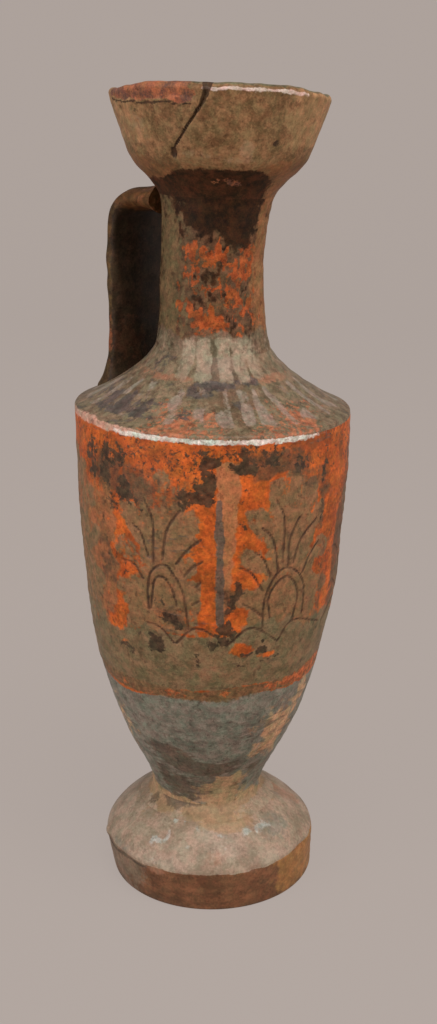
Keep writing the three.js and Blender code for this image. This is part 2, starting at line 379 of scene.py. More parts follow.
def makeGraverLine():
    # a mask along a stroke: the attribute is the distance from its middle in mm, and the line wavers
    inputs = [("Vector", "NodeSocketVector", None), ("Distance", "NodeSocketFloat", 9.0),
              ("Width", "NodeSocketFloat", 0.3), ("Wear", "NodeSocketFloat", 0.3)]
    outputs = [("Mask", "NodeSocketFloat"), ("Groove", "NodeSocketFloat")]
    group, given, put = socketed("graverLine", inputs, outputs)
    waver = calc(group, "MULTIPLY", calc(group, "SUBTRACT", cloud(group, given["Vector"], 1.6), 0.5), 0.3)
    distance = calc(group, "ADD", given["Distance"], waver)
    inside = calc(group, "SUBTRACT", 1.0, ranged(group, distance, calc(group, "MULTIPLY", given["Width"], 0.35),
                                                 calc(group, "MULTIPLY", given["Width"], 1.5)))
    left = calc(group, "SUBTRACT", 1.0, given["Wear"])
    worn = ranged(group, cloud(group, given["Vector"], 3.5, 3.0), 0.34, 0.6, left, 1.0)
    group.links.new(calc(group, "MULTIPLY", inside, worn), put["Mask"])
    group.links.new(inside, put["Groove"])
    return group


def makeGrain():
    # a height for the bump: fine grit, shallow dents and scattered pin holes
    inputs = [("Vector", "NodeSocketVector", None), ("Size", "NodeSocketFloat", 0.6)]
    group, given, put = socketed("firedGrain", inputs, [("Height", "NodeSocketFloat")])
    grit = cloud(group, given["Vector"], given["Size"], 4.0, 0.6)
    dents = cloud(group, given["Vector"], calc(group, "MULTIPLY", given["Size"], 5.0), 3.0, 0.5)
    holes = group.nodes.new("ShaderNodeTexVoronoi")
    plug(group, given["Vector"], holes.inputs["Vector"])
    plug(group, calc(group, "DIVIDE", 0.35 / mm, given["Size"]), holes.inputs["Scale"])
    pits = ranged(group, holes.outputs["Distance"], 0.08, 0.2)
    total = calc(group, "ADD", calc(group, "MULTIPLY", grit, 0.5), calc(group, "MULTIPLY", dents, 0.9))
    group.links.new(calc(group, "ADD", total, calc(group, "MULTIPLY", pits, 0.22)), put["Height"])
    return group


def makeBrushed():
    # a mask of fine level streaks, as a wheel and a cloth leave them
    inputs = [("Vector", "NodeSocketVector", None), ("Amount", "NodeSocketFloat", 0.5),
              ("Size", "NodeSocketFloat", 1.2)]
    group, given, put = socketed("wheelStreaks", inputs, [("Mask", "NodeSocketFloat")])
    flattened = scaled(group, given["Vector"], (1.0, 1.0, 4.5))
    streaks = cloud(group, flattened, calc(group, "MULTIPLY", given["Size"], 4.5), 5.0, 0.62, 0.15)
    rank = ranged(group, streaks, 0.32, 0.68, kind="LINEAR")
    reach = calc(group, "SUBTRACT", calc(group, "MULTIPLY", given["Amount"], 1.35), rank)
    group.links.new(ranged(group, reach, 0.0, 0.35), put["Mask"])
    return group


mossTint = (0.84, 0.98, 0.9, 1.0)
rustTint = (1.16, 1.0, 0.98, 1.0)
freckleTint = (0.42, 0.36, 0.34, 1.0)


def makeWeathered():
    # the colour after long use: patches that lean to rust or to moss, grit in light and dark, and
    # small dark freckles
    inputs = [("Vector", "NodeSocketVector", None), ("Color", "NodeSocketColor", None),
              ("Amount", "NodeSocketFloat", 1.0)]
    group, given, put = socketed("weatheredSkin", inputs, [("Color", "NodeSocketColor")])
    rusty = ranged(group, cloud(group, given["Vector"], 2.1, 5.0, 0.68), 0.35, 0.65)
    tinted = mixed(group, 1.0, given["Color"], mixed(group, rusty, mossTint, rustTint), "MULTIPLY")
    grit = ranged(group, cloud(group, given["Vector"], 0.7, 4.0, 0.72), 0.28, 0.72, 0.66, 1.34, "LINEAR")
    gritty = mixed(group, 1.0, tinted, grit, "MULTIPLY")
    freckles = ranged(group, cloud(group, given["Vector"], 1.3, 3.0, 0.6), 0.59, 0.66)
    dark = mixed(group, 1.0, gritty, freckleTint, "MULTIPLY")
    freckled = mixed(group, calc(group, "MULTIPLY", freckles, 0.6), gritty, dark)
    group.links.new(mixed(group, given["Amount"], given["Color"], freckled), put["Color"])
    return group


groups = {
    "weathered": makeWeathered(),
    "mottled": makeMottled(),
    "flakes": makeFlakes(),
    "line": makeGraverLine(),
    "grain": makeGrain(),
    "streaks": makeBrushed(),
}


def place(tree, kind, **values):
    # one of the shared groups, with this material's own values
    node = tree.nodes.new("ShaderNodeGroup")
    node.node_tree = groups[kind]
    for name, value in values.items():
        plug(tree, value, node.inputs[name])
    return node.outputs


def field(tree, name):
    node = tree.nodes.new("ShaderNodeAttribute")
    node.attribute_name = name
    return node.outputs["Fac"]


def opaque(colour):
    return (*colour, 1.0)


def clay(dark, bright, size, roughness):
    # the bare clay: two colours that mingle in patches of about `size` mm
    return {"dark": dark, "bright": bright, "size": size, "roughness": roughness}


def coat(fieldName, dark, bright, size, strength, roughness, softness=0.1, mottle=3.0, thickness=0.0,
         pattern="flakes", wear=0.3):
    # One layer over the clay. Its field says how much of it is left at each point, and its pattern is
    # flakes, streaks or line; size and mottle are those of the pattern and of its two colours, and its
    # thickness, in mm, is below 0 for what is cut in.
    return {"field": fieldName, "size": size, "strength": strength, "softness": softness,
            "thickness": thickness, "pattern": pattern, "wear": wear,
            "dark": dark, "bright": bright, "roughness": roughness, "mottle": mottle}


def pottery(name, ground, layers, grain=0.6, grainDepth=0.05, sheen=0.2, weather=0.85):
    # fired clay under its layers, from the clay up: each mixes over what lies below by its mask times
    # its strength
    material = bpy.data.materials.new(name)
    material.use_nodes = True
    tree = material.node_tree
    shader = tree.nodes["Principled BSDF"]
    vector = tree.nodes.new("ShaderNodeTexCoord").outputs["Object"]
    colour = place(tree, "mottled", Vector=vector, Dark=opaque(ground["dark"]), Bright=opaque(ground["bright"]),
                   Size=ground["size"])["Color"]
    roughness = ground["roughness"]
    height = calc(tree, "MULTIPLY", place(tree, "grain", Vector=vector, Size=grain)["Height"], grainDepth)
    for layer in layers:
        amount = field(tree, layer["field"])
        shade = place(tree, "mottled", Vector=vector, Dark=opaque(layer["dark"]), Bright=opaque(layer["bright"]),
                      Size=layer["mottle"])["Color"]
        pattern = layer["pattern"]
        if pattern == "line":
            found = place(tree, "line", Vector=vector, Distance=amount, Width=layer["size"], Wear=layer["wear"])
            relief = found["Groove"]
        elif pattern == "streaks":
            found = place(tree, "streaks", Vector=vector, Amount=amount, Size=layer["size"])
            relief = found["Mask"]
        else:
            found = place(tree, "flakes", Vector=vector, Amount=amount, Size=layer["size"],
                          Softness=layer["softness"])
            relief = found["Mask"]
        share = calc(tree, "MULTIPLY", found["Mask"], layer["strength"])
        colour = mixed(tree, share, colour, shade)
        roughness = ranged(tree, share, 0.0, 1.0, roughness, layer["roughness"], "LINEAR")
        height = calc(tree, "ADD", height, calc(tree, "MULTIPLY", relief, layer["thickness"]))
    weathered = place(tree, "weathered", Vector=vector, Color=colour, Amount=weather)["Color"]
    plug(tree, weathered, shader.inputs["Base Color"])
    plug(tree, roughness, shader.inputs["Roughness"])
    shader.inputs["Specular IOR Level"].default_value = sheen
    bump = tree.nodes.new("ShaderNodeBump")
    bump.inputs["Strength"].default_value = 1.0
    bump.inputs["Distance"].default_value = mm
    tree.links.new(height, bump.inputs["Height"])
    tree.links.new(bump.outputs["Normal"], shader.inputs["Normal"])
    return material


# Colours of the fired surfaces, linear
clayDeep = (0.185, 0.037, 0.005)
clayBright = (0.43, 0.092, 0.013)
glossDeep = (0.018, 0.011, 0.006)
glossWorn = (0.06, 0.036, 0.02)
filmOlive = (0.098, 0.069, 0.034)
filmTan = (0.19, 0.105, 0.052)
# The rounded edge of the shoulder lies on the body and on the shoulder: worn peach on the left, and a painted
# highlight, partly pale wear, in front
peachEdge = coat("peach", (0.28, 0.14, 0.1), (0.47, 0.285, 0.225), size=1.1,
             softness=0.6, strength=0.85, roughness=0.45, mottle=1.2)
# painted highlight: a pale line along the front of the rounded edge, partly pale wear, with a lower roughness
paintedEdgeHighlight = coat("edge", (0.3, 0.28, 0.25), (0.6, 0.6, 0.57), size=1.1,
              softness=0.6, strength=0.88, roughness=0.25, mottle=1.0)
print("materials' groups made")


# Body: a tapering wall on a short stem, painted and cut with palmettes
bodyLook = {
    "wall": 3.2,
    "flare": (16.2, 31.0),
    "unrolled": 25.5,  # radius at which the painting is laid out flat
    "palmetteTurns": [-75.5, -20.5, 34.5, 89.5, 144.5],
    "petalLength": 21.0,
    "petalHeart": 71.0,  # height that the petals spring from
    "petalTips": 1.85,  # half width of a petal near its tip
    "fanWidth": 0.43,  # of the fan's height
    "stripeTurns": [-180, -58, -25, -3, 20, 44, 56, 68, 180],
    "stripeHeights": [48.6, 47.8, 48.1, 48.1, 49.3, 49.2, 49.8, 50.8, 48.6],
    "stripeHalf": 1.25,
    # how much of the orange stripe is left, by turn
    "leftTurns": [-180, -75, -34, -25, -20, -12, -6, 2, 8, 13, 18, 25, 32, 60, 75, 180],
    "leftShares": [0.4, 0.2, 0.12, 0.5, 0.75, 0.6, 0.3, 0.3, 0.62, 0.55, 0.2, 0.3, 0.85, 0.8, 0.45, 0.4],
}

# Strokes of the graver as (turn, height), for the two palmettes in front
leftStrokes = [
    [(-28, 88), (-24.3, 83.7), (-24.3, 75.7)],
    [(-33.5, 82.6), (-29.7, 81.1), (-26.5, 76.8)],
    [(-40.5, 74.9), (-33.5, 74.6), (-29.3, 72)],
    [(-12.7, 86.6), (-18.2, 82.5), (-20.3, 76.5)],
    [(-4.5, 81.1), (-10, 78.9), (-14.5, 76)],
    [(-3.5, 76.8), (-7.5, 75.7), (-11.3, 73.7)],
    [(-4.3, 72.8), (-6.3, 71.6)],
    [(-5, 68.9), (-7.7, 68)],
    [(-27.5, 66), (-27.5, 69.4), (-25.7, 73.6), (-20.3, 75.6), (-16.3, 74.3), (-11.7, 70.3), (-9.5, 63.2)],
    [(-26.3, 66.2), (-24, 72.2), (-20.3, 73.1), (-16.7, 71.1), (-14.2, 67.6)],
]
rightStrokes = [
    [(26, 88.5), (30.2, 84.3), (30.5, 75.9)],
    [(20.3, 83.3), (25.5, 80.6), (28.7, 74)],
    [(17.2, 78.8), (21.8, 76.9), (25.2, 73.3)],
    [(11.7, 75.6), (16.5, 74.5), (21.8, 70.8)],
    [(13.8, 68.2), (17.8, 67.1), (22.5, 65.4)],
    [(37.5, 84.3), (33.5, 80.2), (33.3, 74.9)],
    [(48.2, 83.6), (39.5, 80), (36, 75.6)],
    [(50.7, 78.5), (44.8, 76), (41.3, 72.9)],
    [(23.5, 62.9), (23.5, 69.2), (28.7, 74), (35.8, 74.3), (43.2, 70.5), (44.5, 64.2)],
    [(26.5, 64.8), (25.2, 68.9), (28.7, 72), (34.5, 72.8), (40, 68.9), (39, 63.7)],
]
scallops = [
    [(-28.5, 63.1), (-22.2, 62.5), (-16, 59.7)],
    [(-15, 59.7), (-6.5, 63.2), (3.5, 61.4)],
    [(7.5, 59.7), (18.2, 63.1), (32, 59.4)],
    [(32, 59.4), (40, 63.1), (59.3, 60.6)],
]
dart = {"stripe": [(2.4, 88.5), (3.2, 76.5), (4.0, 64.3)],
        "pale": [(5.6, 94), (6.2, 80), (5.6, 66.5)], "half": 2.1, "tip": 0.7}

# Where gloss is left, as (turn, height, half width mm, half height mm, strength, tilt)
glossSpots = [
    (-3, 95.6, 1.5, 2.4, 1.0), (-3.5, 91.6, 2.0, 2.7, 1.0), (-7, 88.7, 3.4, 1.7, 0.95),
    (-46, 95.5, 2.1, 2.6, 0.8), (-48, 91, 1.6, 3.0, 0.75), (-39, 94.6, 1.5, 3.2, 0.7), (-37, 88.9, 1.8, 3.0, 0.8),
    (-43, 86, 2.6, 2.0, 0.6), (-32, 87, 3.2, 2.6, 0.5), (-57, 94, 2.0, 5.0, 0.6), (-30, 96.5, 5.0, 2.0, 0.42),
    (12.5, 95.0, 2.6, 2.3, 0.92), (16, 98, 5.0, 1.4, 0.6), (24, 96.8, 3.0, 1.6, 0.62), (36, 95.4, 5.0, 1.8, 0.46),
    (51, 92.3, 1.2, 5.0, 0.6), (50, 84.5, 1.0, 4.0, 0.5), (12, 90, 1.2, 3.0, 0.5), (12.5, 84.5, 0.9, 1.2, 0.6),
    (11, 71.4, 1.5, 2.4, 0.85), (10, 67.6, 2.0, 2.2, 0.85), (6, 63.6, 2.0, 1.6, 0.8), (3, 61, 1.6, 1.4, 0.9),
    (-17, 64.4, 2.4, 2.4, 0.8), (-22, 67.8, 1.4, 3.0, 0.45), (-42, 56.4, 2.6, 1.0, 0.7),
    (-26, 59.5, 2.2, 1.5, 0.85), (-7, 56.4, 3.2, 1.5, 0.45), (-1, 59.8, 1.6, 1.2, 0.6), (14, 54.6, 2.2, 1.3, 0.55),
    (22, 58.3, 1.4, 1.2, 0.95), (32, 55.3, 3.0, 0.9, 0.6), (16, 58.2, 0.9, 0.9, 0.8), (7, 62.5, 1.4, 2.0, 0.6),
]
glossFew = {"everywhere": 0.08, "nearEdge": 0.2, "back": 0.22}
# Soft brown stains over the orange
smokeSpots = [
    (26, 95.4, 9.0, 2.8, 0.9, -4), (16, 95.0, 4.6, 3.0, 0.95), (51, 87, 1.9, 9.5, 0.75), (44, 93, 4.0, 3.0, 0.6),
    (-46, 92, 4.6, 5.0, 0.75), (-33, 90, 4.4, 4.4, 0.6), (-17, 65, 4.4, 3.4, 0.7), (34, 84, 4.0, 5.0, 0.4),
    (-20, 86, 4.0, 4.0, 0.45), (9, 69, 2.4, 4.6, 0.75), (-49, 78, 1.6, 10, 0.6), (4, 61, 4.0, 2.2, 0.6),
    (-27, 58.8, 4.0, 2.6, 0.6), (13, 76, 1.6, 3.0, 0.4), (-4.5, 55.6, 3.4, 2.0, 0.5), (-52, 62, 3.0, 4.0, 0.45),
]
baredSpots = [(14, 58.7, 2.6, 1.6, 1.0), (-48, 61.2, 3.0, 2.2, 0.8), (-42, 57.6, 1.6, 1.2, 0.5),
              (27, 57, 3.0, 0.8, 0.6)]


def petalField(turn, height):
    # 1 in the petals and the heart of each palmette, falling to 0 just outside; a petal is a straight
    # limb that widens towards its tip, and the tips lie on an ellipse
    found = np.zeros(turn.shape)
    for middle in bodyLook["palmetteTurns"]:
        across = np.radians(turnGap(turn, middle)) * bodyLook["unrolled"]
        near = np.abs(across) < 14
        x, z = across[near], height[near] - bodyLook["petalHeart"]
        value = np.zeros(x.shape)
        for slant in np.linspace(-118, 118, 11):
            way = np.array([bodyLook["fanWidth"] * math.sin(math.radians(slant)), math.cos(math.radians(slant))])
            tip = way * bodyLook["petalLength"] * (1.0 if slant else 1.04)
            share = np.clip((x * tip[0] + z * tip[1]) / (tip @ tip), 0, 1)
            gap = np.hypot(x - share * tip[0], z - share * tip[1]) - bodyLook["petalTips"] * (0.55 + 0.45 * share)
            value = np.maximum(value, 1 - smooth(gap, -0.7, 1.0))
        value = np.maximum(value, 1 - smooth(np.hypot(x / 9.0, (z + 3.5) / 7.0), 0.85, 1.1))
        found[near] = np.maximum(found[near], value)
    return found


def strokesAllRound():
    # the two palmettes in front, and their like on the other three places
    strokes = leftStrokes + rightStrokes + scallops
    shapes = [(leftStrokes, -20.5), (rightStrokes, 34.5)]
    for number, middle in enumerate([-75.5, 89.5, 144.5]):
        shape, own = shapes[number % 2]
        strokes = strokes + [[(a + middle - own, z) for a, z in stroke] for stroke in shape]
        strokes = strokes + [[(middle - 26, 60), (middle - 14, 63.2), (middle - 1, 59.9)],
                             [(middle - 1, 59.9), (middle + 12, 63.0), (middle + 27, 60.6)]]
    return strokes


def stripeMiddle(turn):
    return np.interp(turn, bodyLook["stripeTurns"], bodyLook["stripeHeights"])


def edgeBand(turn, height, above, width, turns):
    # a level band near the edge between body and shoulder, which fades in and out over four turns
    along = smooth(turn, turns[0], turns[1]) * (1 - smooth(turn, turns[2], turns[3]))
    return bell(height, heights["shoulderBase"] + above, width) * along


def bodyFields(turn, height, outer):
    # how much of each layer is left, 0 to 1, and the distance to the graver's strokes in mm
    radius = bodyLook["unrolled"]
    slow = waves(turn, height, 16, 12, 21)
    quick = waves(turn, height, 4.5, 4, 22, 60)
    back = smooth(np.abs(turn), 62, 95)
    underHandle = bell(turnGap(turn, -145), 0, 26)
    ragged = waves(turn, height, 3, 3, 23, 60)  # bends the outlines of the spots
    upright = waves(turn, height, 3.2, 40, 24, 60)
    washedEnd = np.interp(height, [60, 68, 90], [-57, -48, -46])
    washed = smooth(turn, -92, -84) * (1 - smooth(turn + 2 * ragged - washedEnd, 0, 6)) * smooth(height, 57, 63)
    washed = washed * (1 - smooth(height + 1.5 * slow, 87, 94))
    ink = strokeDistance(turn, height, radius, strokesAllRound()) + 2.5 * washed
    petals = petalField(turn + 1.1 * ragged, height + 0.35 * quick) * (1 - 0.8 * underHandle)
    stripe = bell(height, stripeMiddle(turn), bodyLook["stripeHalf"] * (1 + 0.12 * slow))
    low = 1 - smooth(height + 0.5 * slow, stripeMiddle(turn) - 2.4, stripeMiddle(turn) - 0.9)
    band = smooth(height + 0.5 * slow, stripeMiddle(turn) - 0.6, stripeMiddle(turn) + 1.4)
    band = band * (1 - smooth(height + 1.2 * slow + 0.6 * quick, 60.0, 64.5))
    bared = patch(turn, height, radius, baredSpots)
    darts = np.zeros(turn.shape)
    dartDark = np.zeros(turn.shape)
    for middle in [0, -55, 55, 110]:
        shifted = [[(a + middle, z) for a, z in dart["pale"]]]
        share = smooth(height, 64, 94)
        gap = strokeDistance(turn, height, radius, shifted) - (dart["tip"] + (dart["half"] - dart["tip"]) * share)
        there = 1.0 if middle == 0 else 0.22
        darts = np.maximum(darts, there * (1 - smooth(gap + 0.16 * ragged, -1.0, 0.8)))
        stem = strokeDistance(turn + 0.2 * ragged, height, radius, [[(a + middle, z) for a, z in dart["stripe"]]])
        thick = np.interp(height, [65, 68, 76, 83, 90], [0.85, 1.0, 0.75, 0.95, 0.5])
        dartDark = np.maximum(dartDark, there * (1 - smooth(stem - thick, -0.45, 0.3)) * (0.85 + 0.12 * quick))
    tanRight = bell(turn, 40, 16) * (1 - smooth(height + slow, 60, 78)) * 0.5
    film = np.maximum(petals * (0.86 - 0.16 * np.maximum(slow, 0) + 0.05 * quick), tanRight)
    film = np.maximum(film, back * (0.42 + 0.18 * slow))
    between = smooth(turn + 0.9 * ragged, -6.5, -5.0) * (1 - smooth(turn, 1.0, 3.0))
    between = between * smooth(height + 0.5 * quick, 61, 62.5)
    film = film * (1 - 0.95 * between) * (1 - smooth(height, 92, 97)) * smooth(height, 50, 58) * outer
    gloss = glossFew["everywhere"] + 0.05 * slow + glossFew["nearEdge"] * smooth(height, 88, 98)
    gloss = gloss + glossFew["back"] * back * (0.6 + 0.5 * slow)
    gloss = gloss * smooth(height, 50, 64) * (1 - 0.75 * petals) * (1 - 0.8 * darts) * (1 - 0.6 * washed)
    spots = patch(turn + 1.6 * ragged, height + 0.6 * quick, radius, glossSpots)
    gloss = np.maximum(gloss, spots * (1 + 0.12 * quick))
    upper = smooth(height, 62, 70) * (1 - smooth(height, 99.6, 100.6)) * outer
    specks = (0.2 + 0.07 * slow + 0.1 * smooth(height, 88, 98)) * upper
    specks = specks * (1 - 0.5 * petals) * (1 - 0.7 * darts) * (1 - 0.6 * washed)
    smoke = patch(turn + 2.0 * ragged, height + 0.8 * quick, radius, smokeSpots) * (0.9 + 0.12 * quick)
    smoke = np.maximum(smoke, (0.3 + 0.3 * upright) * smooth(turn, 50, 58) * (1 - smooth(turn, 92, 104)))
    smoke = smoke * smooth(height, 55, 62) * (1 - smooth(height, 98, 100))
    broken = np.interp(turn, bodyLook["leftTurns"], bodyLook["leftShares"])
    rosySpots = [(0, 53.6, 4.4, 2.0, 0.6), (12, 52.6, 3.0, 1.4, 0.5), (46, 56, 4.0, 3.0, 0.5)]
    rosy = patch(turn, height, radius, rosySpots)
    underStripe = 0.4 * bell(height, stripeMiddle(turn) - 1.6, 1.2) * bell(turn, 8, 12)
    return {
        "washed": np.clip(washed * (0.86 + 0.18 * upright), 0, 1) * outer,
        "worn": np.clip(stripe * 1.4 + underStripe, 0, 1),
        "warm": rosy * outer,
        "specks": np.clip(specks, 0, 1),
        "smoke": np.clip(smoke + 0.14 * upper * np.maximum(slow, 0), 0, 1) * outer,
        "film": film * (1 - bared),
        "dart": darts,
        "dartDark": dartDark,
        "band": band * (1 - bared) * 0.98,
        "low": low,
        "stripe": np.clip(stripe * (broken + 0.2 * slow + 0.16 * quick), 0, 1),
        "gloss": np.clip(gloss, 0, 1),
        "ink": ink + (1 - outer) * 9,
        "peach": edgeBand(turn, height + 0.12 * quick, -0.1, 0.5, [-88, -78, -34, -22]) * outer,
        # painted highlight along the front of the shoulder's rounded edge, partly pale wear
        "edge": edgeBand(turn, height + 0.06 * quick, -0.25, 0.5, [-56, -30, 34, 58]) * outer,
    }


def lowFields(turn, height):
    # the painted underpart: dark patches, the buff stem in front and the orange stretch to the right
    slow = waves(turn, height, 14, 8, 31)
    quick = waves(turn, height, 4, 3, 32, 60)
    spots = [(-27, 32.4, 5.5, 2.4, 0.9, -20), (-12, 29.4, 4.5, 2.2, 1.0, -10), (6, 28.8, 4.6, 1.7, 0.95),
             (-26, 22.8, 3.4, 3.4, 0.9), (-40, 25.5, 2.4, 4.0, 0.7), (-30, 20.0, 3.2, 1.4, 0.75),
             (-14, 20.4, 2.0, 1.4, 0.7), (30, 30.0, 4.0, 3.0, 0.5), (24, 36.5, 3.4, 3.0, 0.4),
             (42, 28.0, 2.5, 2.5, 0.5), (-44, 31.0, 2.0, 3.0, 0.4)]
    dark = patch(turn, height, 15.0, spots) + 0.10 * slow + 0.06 * quick
    dark = dark + 0.3 * smooth(np.abs(turn), 60, 90) * bell(height, 27, 6)
    buffHere = bell(turn, 12, 27) * (1 - smooth(height + 0.9 * slow + 0.5 * quick, 26.0, 29.0))
    buffHere = np.maximum(buffHere, 1 - smooth(height + 0.8 * slow, 19.0, 21.5))
    buffHere = np.maximum(buffHere, smooth(np.abs(turn), 55, 80) * (1 - smooth(height + slow, 20, 25)) * 0.8)
    rosySpots = [(46, 37, 4.4, 7.5, 0.95, 10), (60, 44, 3.0, 7.0, 0.7), (-62, 36, 2.5, 9.0, 0.5),
                 (34, 33, 3.0, 2.6, 0.7), (26, 38.5, 2.6, 2.2, 0.4)]
    rosy = patch(turn + 3 * quick, height, 18.0, rosySpots)
    streaks = 0.32 * (1 - smooth(height, 42, 47)) * (1 - buffHere) + 0.12 * slow
    return {"lowDark": np.clip(dark, 0, 1), "buff": buffHere, "rosy": rosy, "lowStreaks": np.clip(streaks, 0, 1)}


def makeBody():
    stemBase, bodyTop, base = heights["stemBase"], heights["bodyTop"], heights["shoulderBase"]
    flare, edge = bodyLook["flare"], radii["shoulder"]
    pulls = ((0.743, 0.234), (0.967, 0.512))
    outerWall = joined(
        bend((radii["stem"], stemBase), flare, (0, 0.3), (0.5, 0.59)),
        bend(flare, (edge, bodyTop), *pulls),
        straight((edge, bodyTop), (edge, base)),
    )
    innerFlare = (flare[0] - bodyLook["wall"], flare[1])
    bowl = bend(innerFlare, (edge - bodyLook["wall"], base), *pulls, step=3.0)[::-1]
    floor = bend((0, flare[1] - 2.7), innerFlare, (0.6, 0), (0.9, 0.4), step=3.0)[::-1]
    profile = joined([(0.0, stemBase)], outerWall, bowl, floor)
    outside = np.zeros(len(profile))
    outside[1:1 + len(outerWall)] = 1.0
    profile, outside = profile[1:-1], outside[1:-1]

    def cut(turn, height, outer):
        # grooves where the graver went
        distance = strokeDistance(turn, height, bodyLook["unrolled"], strokesAllRound())
        return -0.09 * (1 - smooth(distance, 0.15, 0.55)) * outer

    grid, turn, height = turned(profile, 420, outside, cut)
    outer = spread(outside, grid)
    fields = bodyFields(turn, height, outer)
    fields.update(lowFields(turn, height))
    layers = [
        coat("washed", (0.145, 0.06, 0.026), (0.255, 0.102, 0.042), size=1.5, softness=0.8,
             strength=0.9, roughness=0.55, mottle=1.8),
        coat("film", filmOlive, filmTan, size=1.0, softness=0.6, strength=0.88,
             roughness=0.55, mottle=1.6, thickness=0.01),
        coat("dart", (0.21, 0.085, 0.036), (0.33, 0.13, 0.054), size=1.5, softness=0.5,
             strength=0.92, roughness=0.55),
        coat("smoke", (0.045, 0.026, 0.014), (0.1, 0.052, 0.025), size=1.7, softness=0.8,
             strength=0.8, roughness=0.5, mottle=1.6),
        coat("dartDark", (0.07, 0.047, 0.035), (0.115, 0.076, 0.055), size=1.5, softness=0.6,
             strength=0.95, roughness=0.5),
        coat("band", (0.088, 0.065, 0.032), (0.15, 0.106, 0.058), size=2.0, softness=0.5,
             strength=0.95, roughness=0.5, mottle=2.5),
        coat("low", (0.092, 0.086, 0.07), (0.165, 0.158, 0.13), size=2.0, softness=0.3,
             strength=0.97, roughness=0.5, mottle=2.4),
        coat("lowDark", (0.05, 0.034, 0.024), (0.1, 0.07, 0.048), size=1.1, softness=0.5,
             strength=0.85, roughness=0.5, pattern="streaks"),
        coat("rosy", (0.3, 0.155, 0.075), (0.45, 0.27, 0.15), size=2.0, softness=0.6,
             strength=0.8, roughness=0.55),
        coat("buff", (0.22, 0.14, 0.078), (0.33, 0.215, 0.12), size=2.0, softness=0.5,
             strength=0.9, roughness=0.6),
        coat("warm", (0.17, 0.085, 0.045), (0.27, 0.15, 0.085), size=1.6, softness=0.8,
             strength=0.75, roughness=0.5, mottle=1.6),
        coat("lowStreaks", (0.06, 0.048, 0.038), (0.1, 0.08, 0.062), size=0.8, softness=0.5,
             strength=0.6, roughness=0.5, pattern="streaks"),
        coat("worn", (0.085, 0.048, 0.022), (0.155, 0.083, 0.039), size=1.2, softness=0.8,
             strength=0.95, roughness=0.55, mottle=1.4),
        coat("stripe", (0.15, 0.04, 0.013), (0.4, 0.1, 0.03), size=1.1, softness=0.3,
             strength=0.9, roughness=0.55, mottle=1.4),
        coat("specks", glossDeep, (0.1, 0.04, 0.018), size=0.9, softness=0.16,
             strength=0.85, roughness=0.45, mottle=1.0),
        coat("gloss", glossDeep, glossWorn, size=1.1, softness=0.24, strength=0.92,
             roughness=0.42, mottle=1.2, thickness=0.02),
        coat("ink", (0.022, 0.01, 0.005), (0.055, 0.024, 0.011), size=0.27, strength=0.96,
             roughness=0.65, pattern="line", wear=0.3, thickness=-0.05),
        peachEdge,
        # painted highlight on the shoulder's edge
        paintedEdgeHighlight,
    ]
    ground = clay(clayDeep, clayBright, size=5.0, roughness=0.5)
    piece = addPiece("painted_body", grid, fields, closed=False)
    material = pottery("paintedBodyClay", ground, layers, weather=1.0)
    finishPiece(piece, material, "body_clay", "body_wall", "shoulder_joint_slip")


makeBody()


# Shoulder and neck: two rows of rays and tongues, painted before the gloss
tongueTurns = [-25, -9, 10, 24, 39, 50] + list(range(66, 320, 16))
rayTurns = [-21, -7, 6, 18, 26, 37, 50] + list(range(64, 325, 14))
shoulderLook = {
    "tongueHeights": (107.6, 116.2),
    "tongueHalf": 1.45,
    "rayRadii": (15.4, 24.6),
    "rayHalf": (0.75, 1.35),
    "ringHeight": 108.0,
    "glossHeights": (101.6, 106.0),
    "collarDepth": 5.5,
    "tenonDepth": 4.5,
}


def limbs(turn, radius, turns, half):
    # 1 inside the nearest painted limb, whose half width is in mm at each radius
    found = np.zeros(turn.shape)
    for middle in turns:
        gap = np.abs(np.radians(turnGap(turn, middle))) * radius - half
        found = np.maximum(found, 1 - smooth(gap, -0.45, 0.4))
    return found


def tongueField(turn, height, radius):
    # clearest in front, and worn thin towards the sides
    low, high = shoulderLook["tongueHeights"]
    lengthwise = smooth(height, low - 0.6, low + 1.2) * (1 - smooth(height, high - 2.5, high + 0.5))
    uneven = waves(turn, height, 3, 3, 43, 60)
    kept = 1 - 0.6 * smooth(np.abs(turnGap(turn, 6)), 24, 44)
    half = shoulderLook["tongueHalf"] + 0.12 * uneven
    return limbs(turn, radius, tongueTurns, half) * lengthwise * kept * (0.9 + 0.1 * uneven)


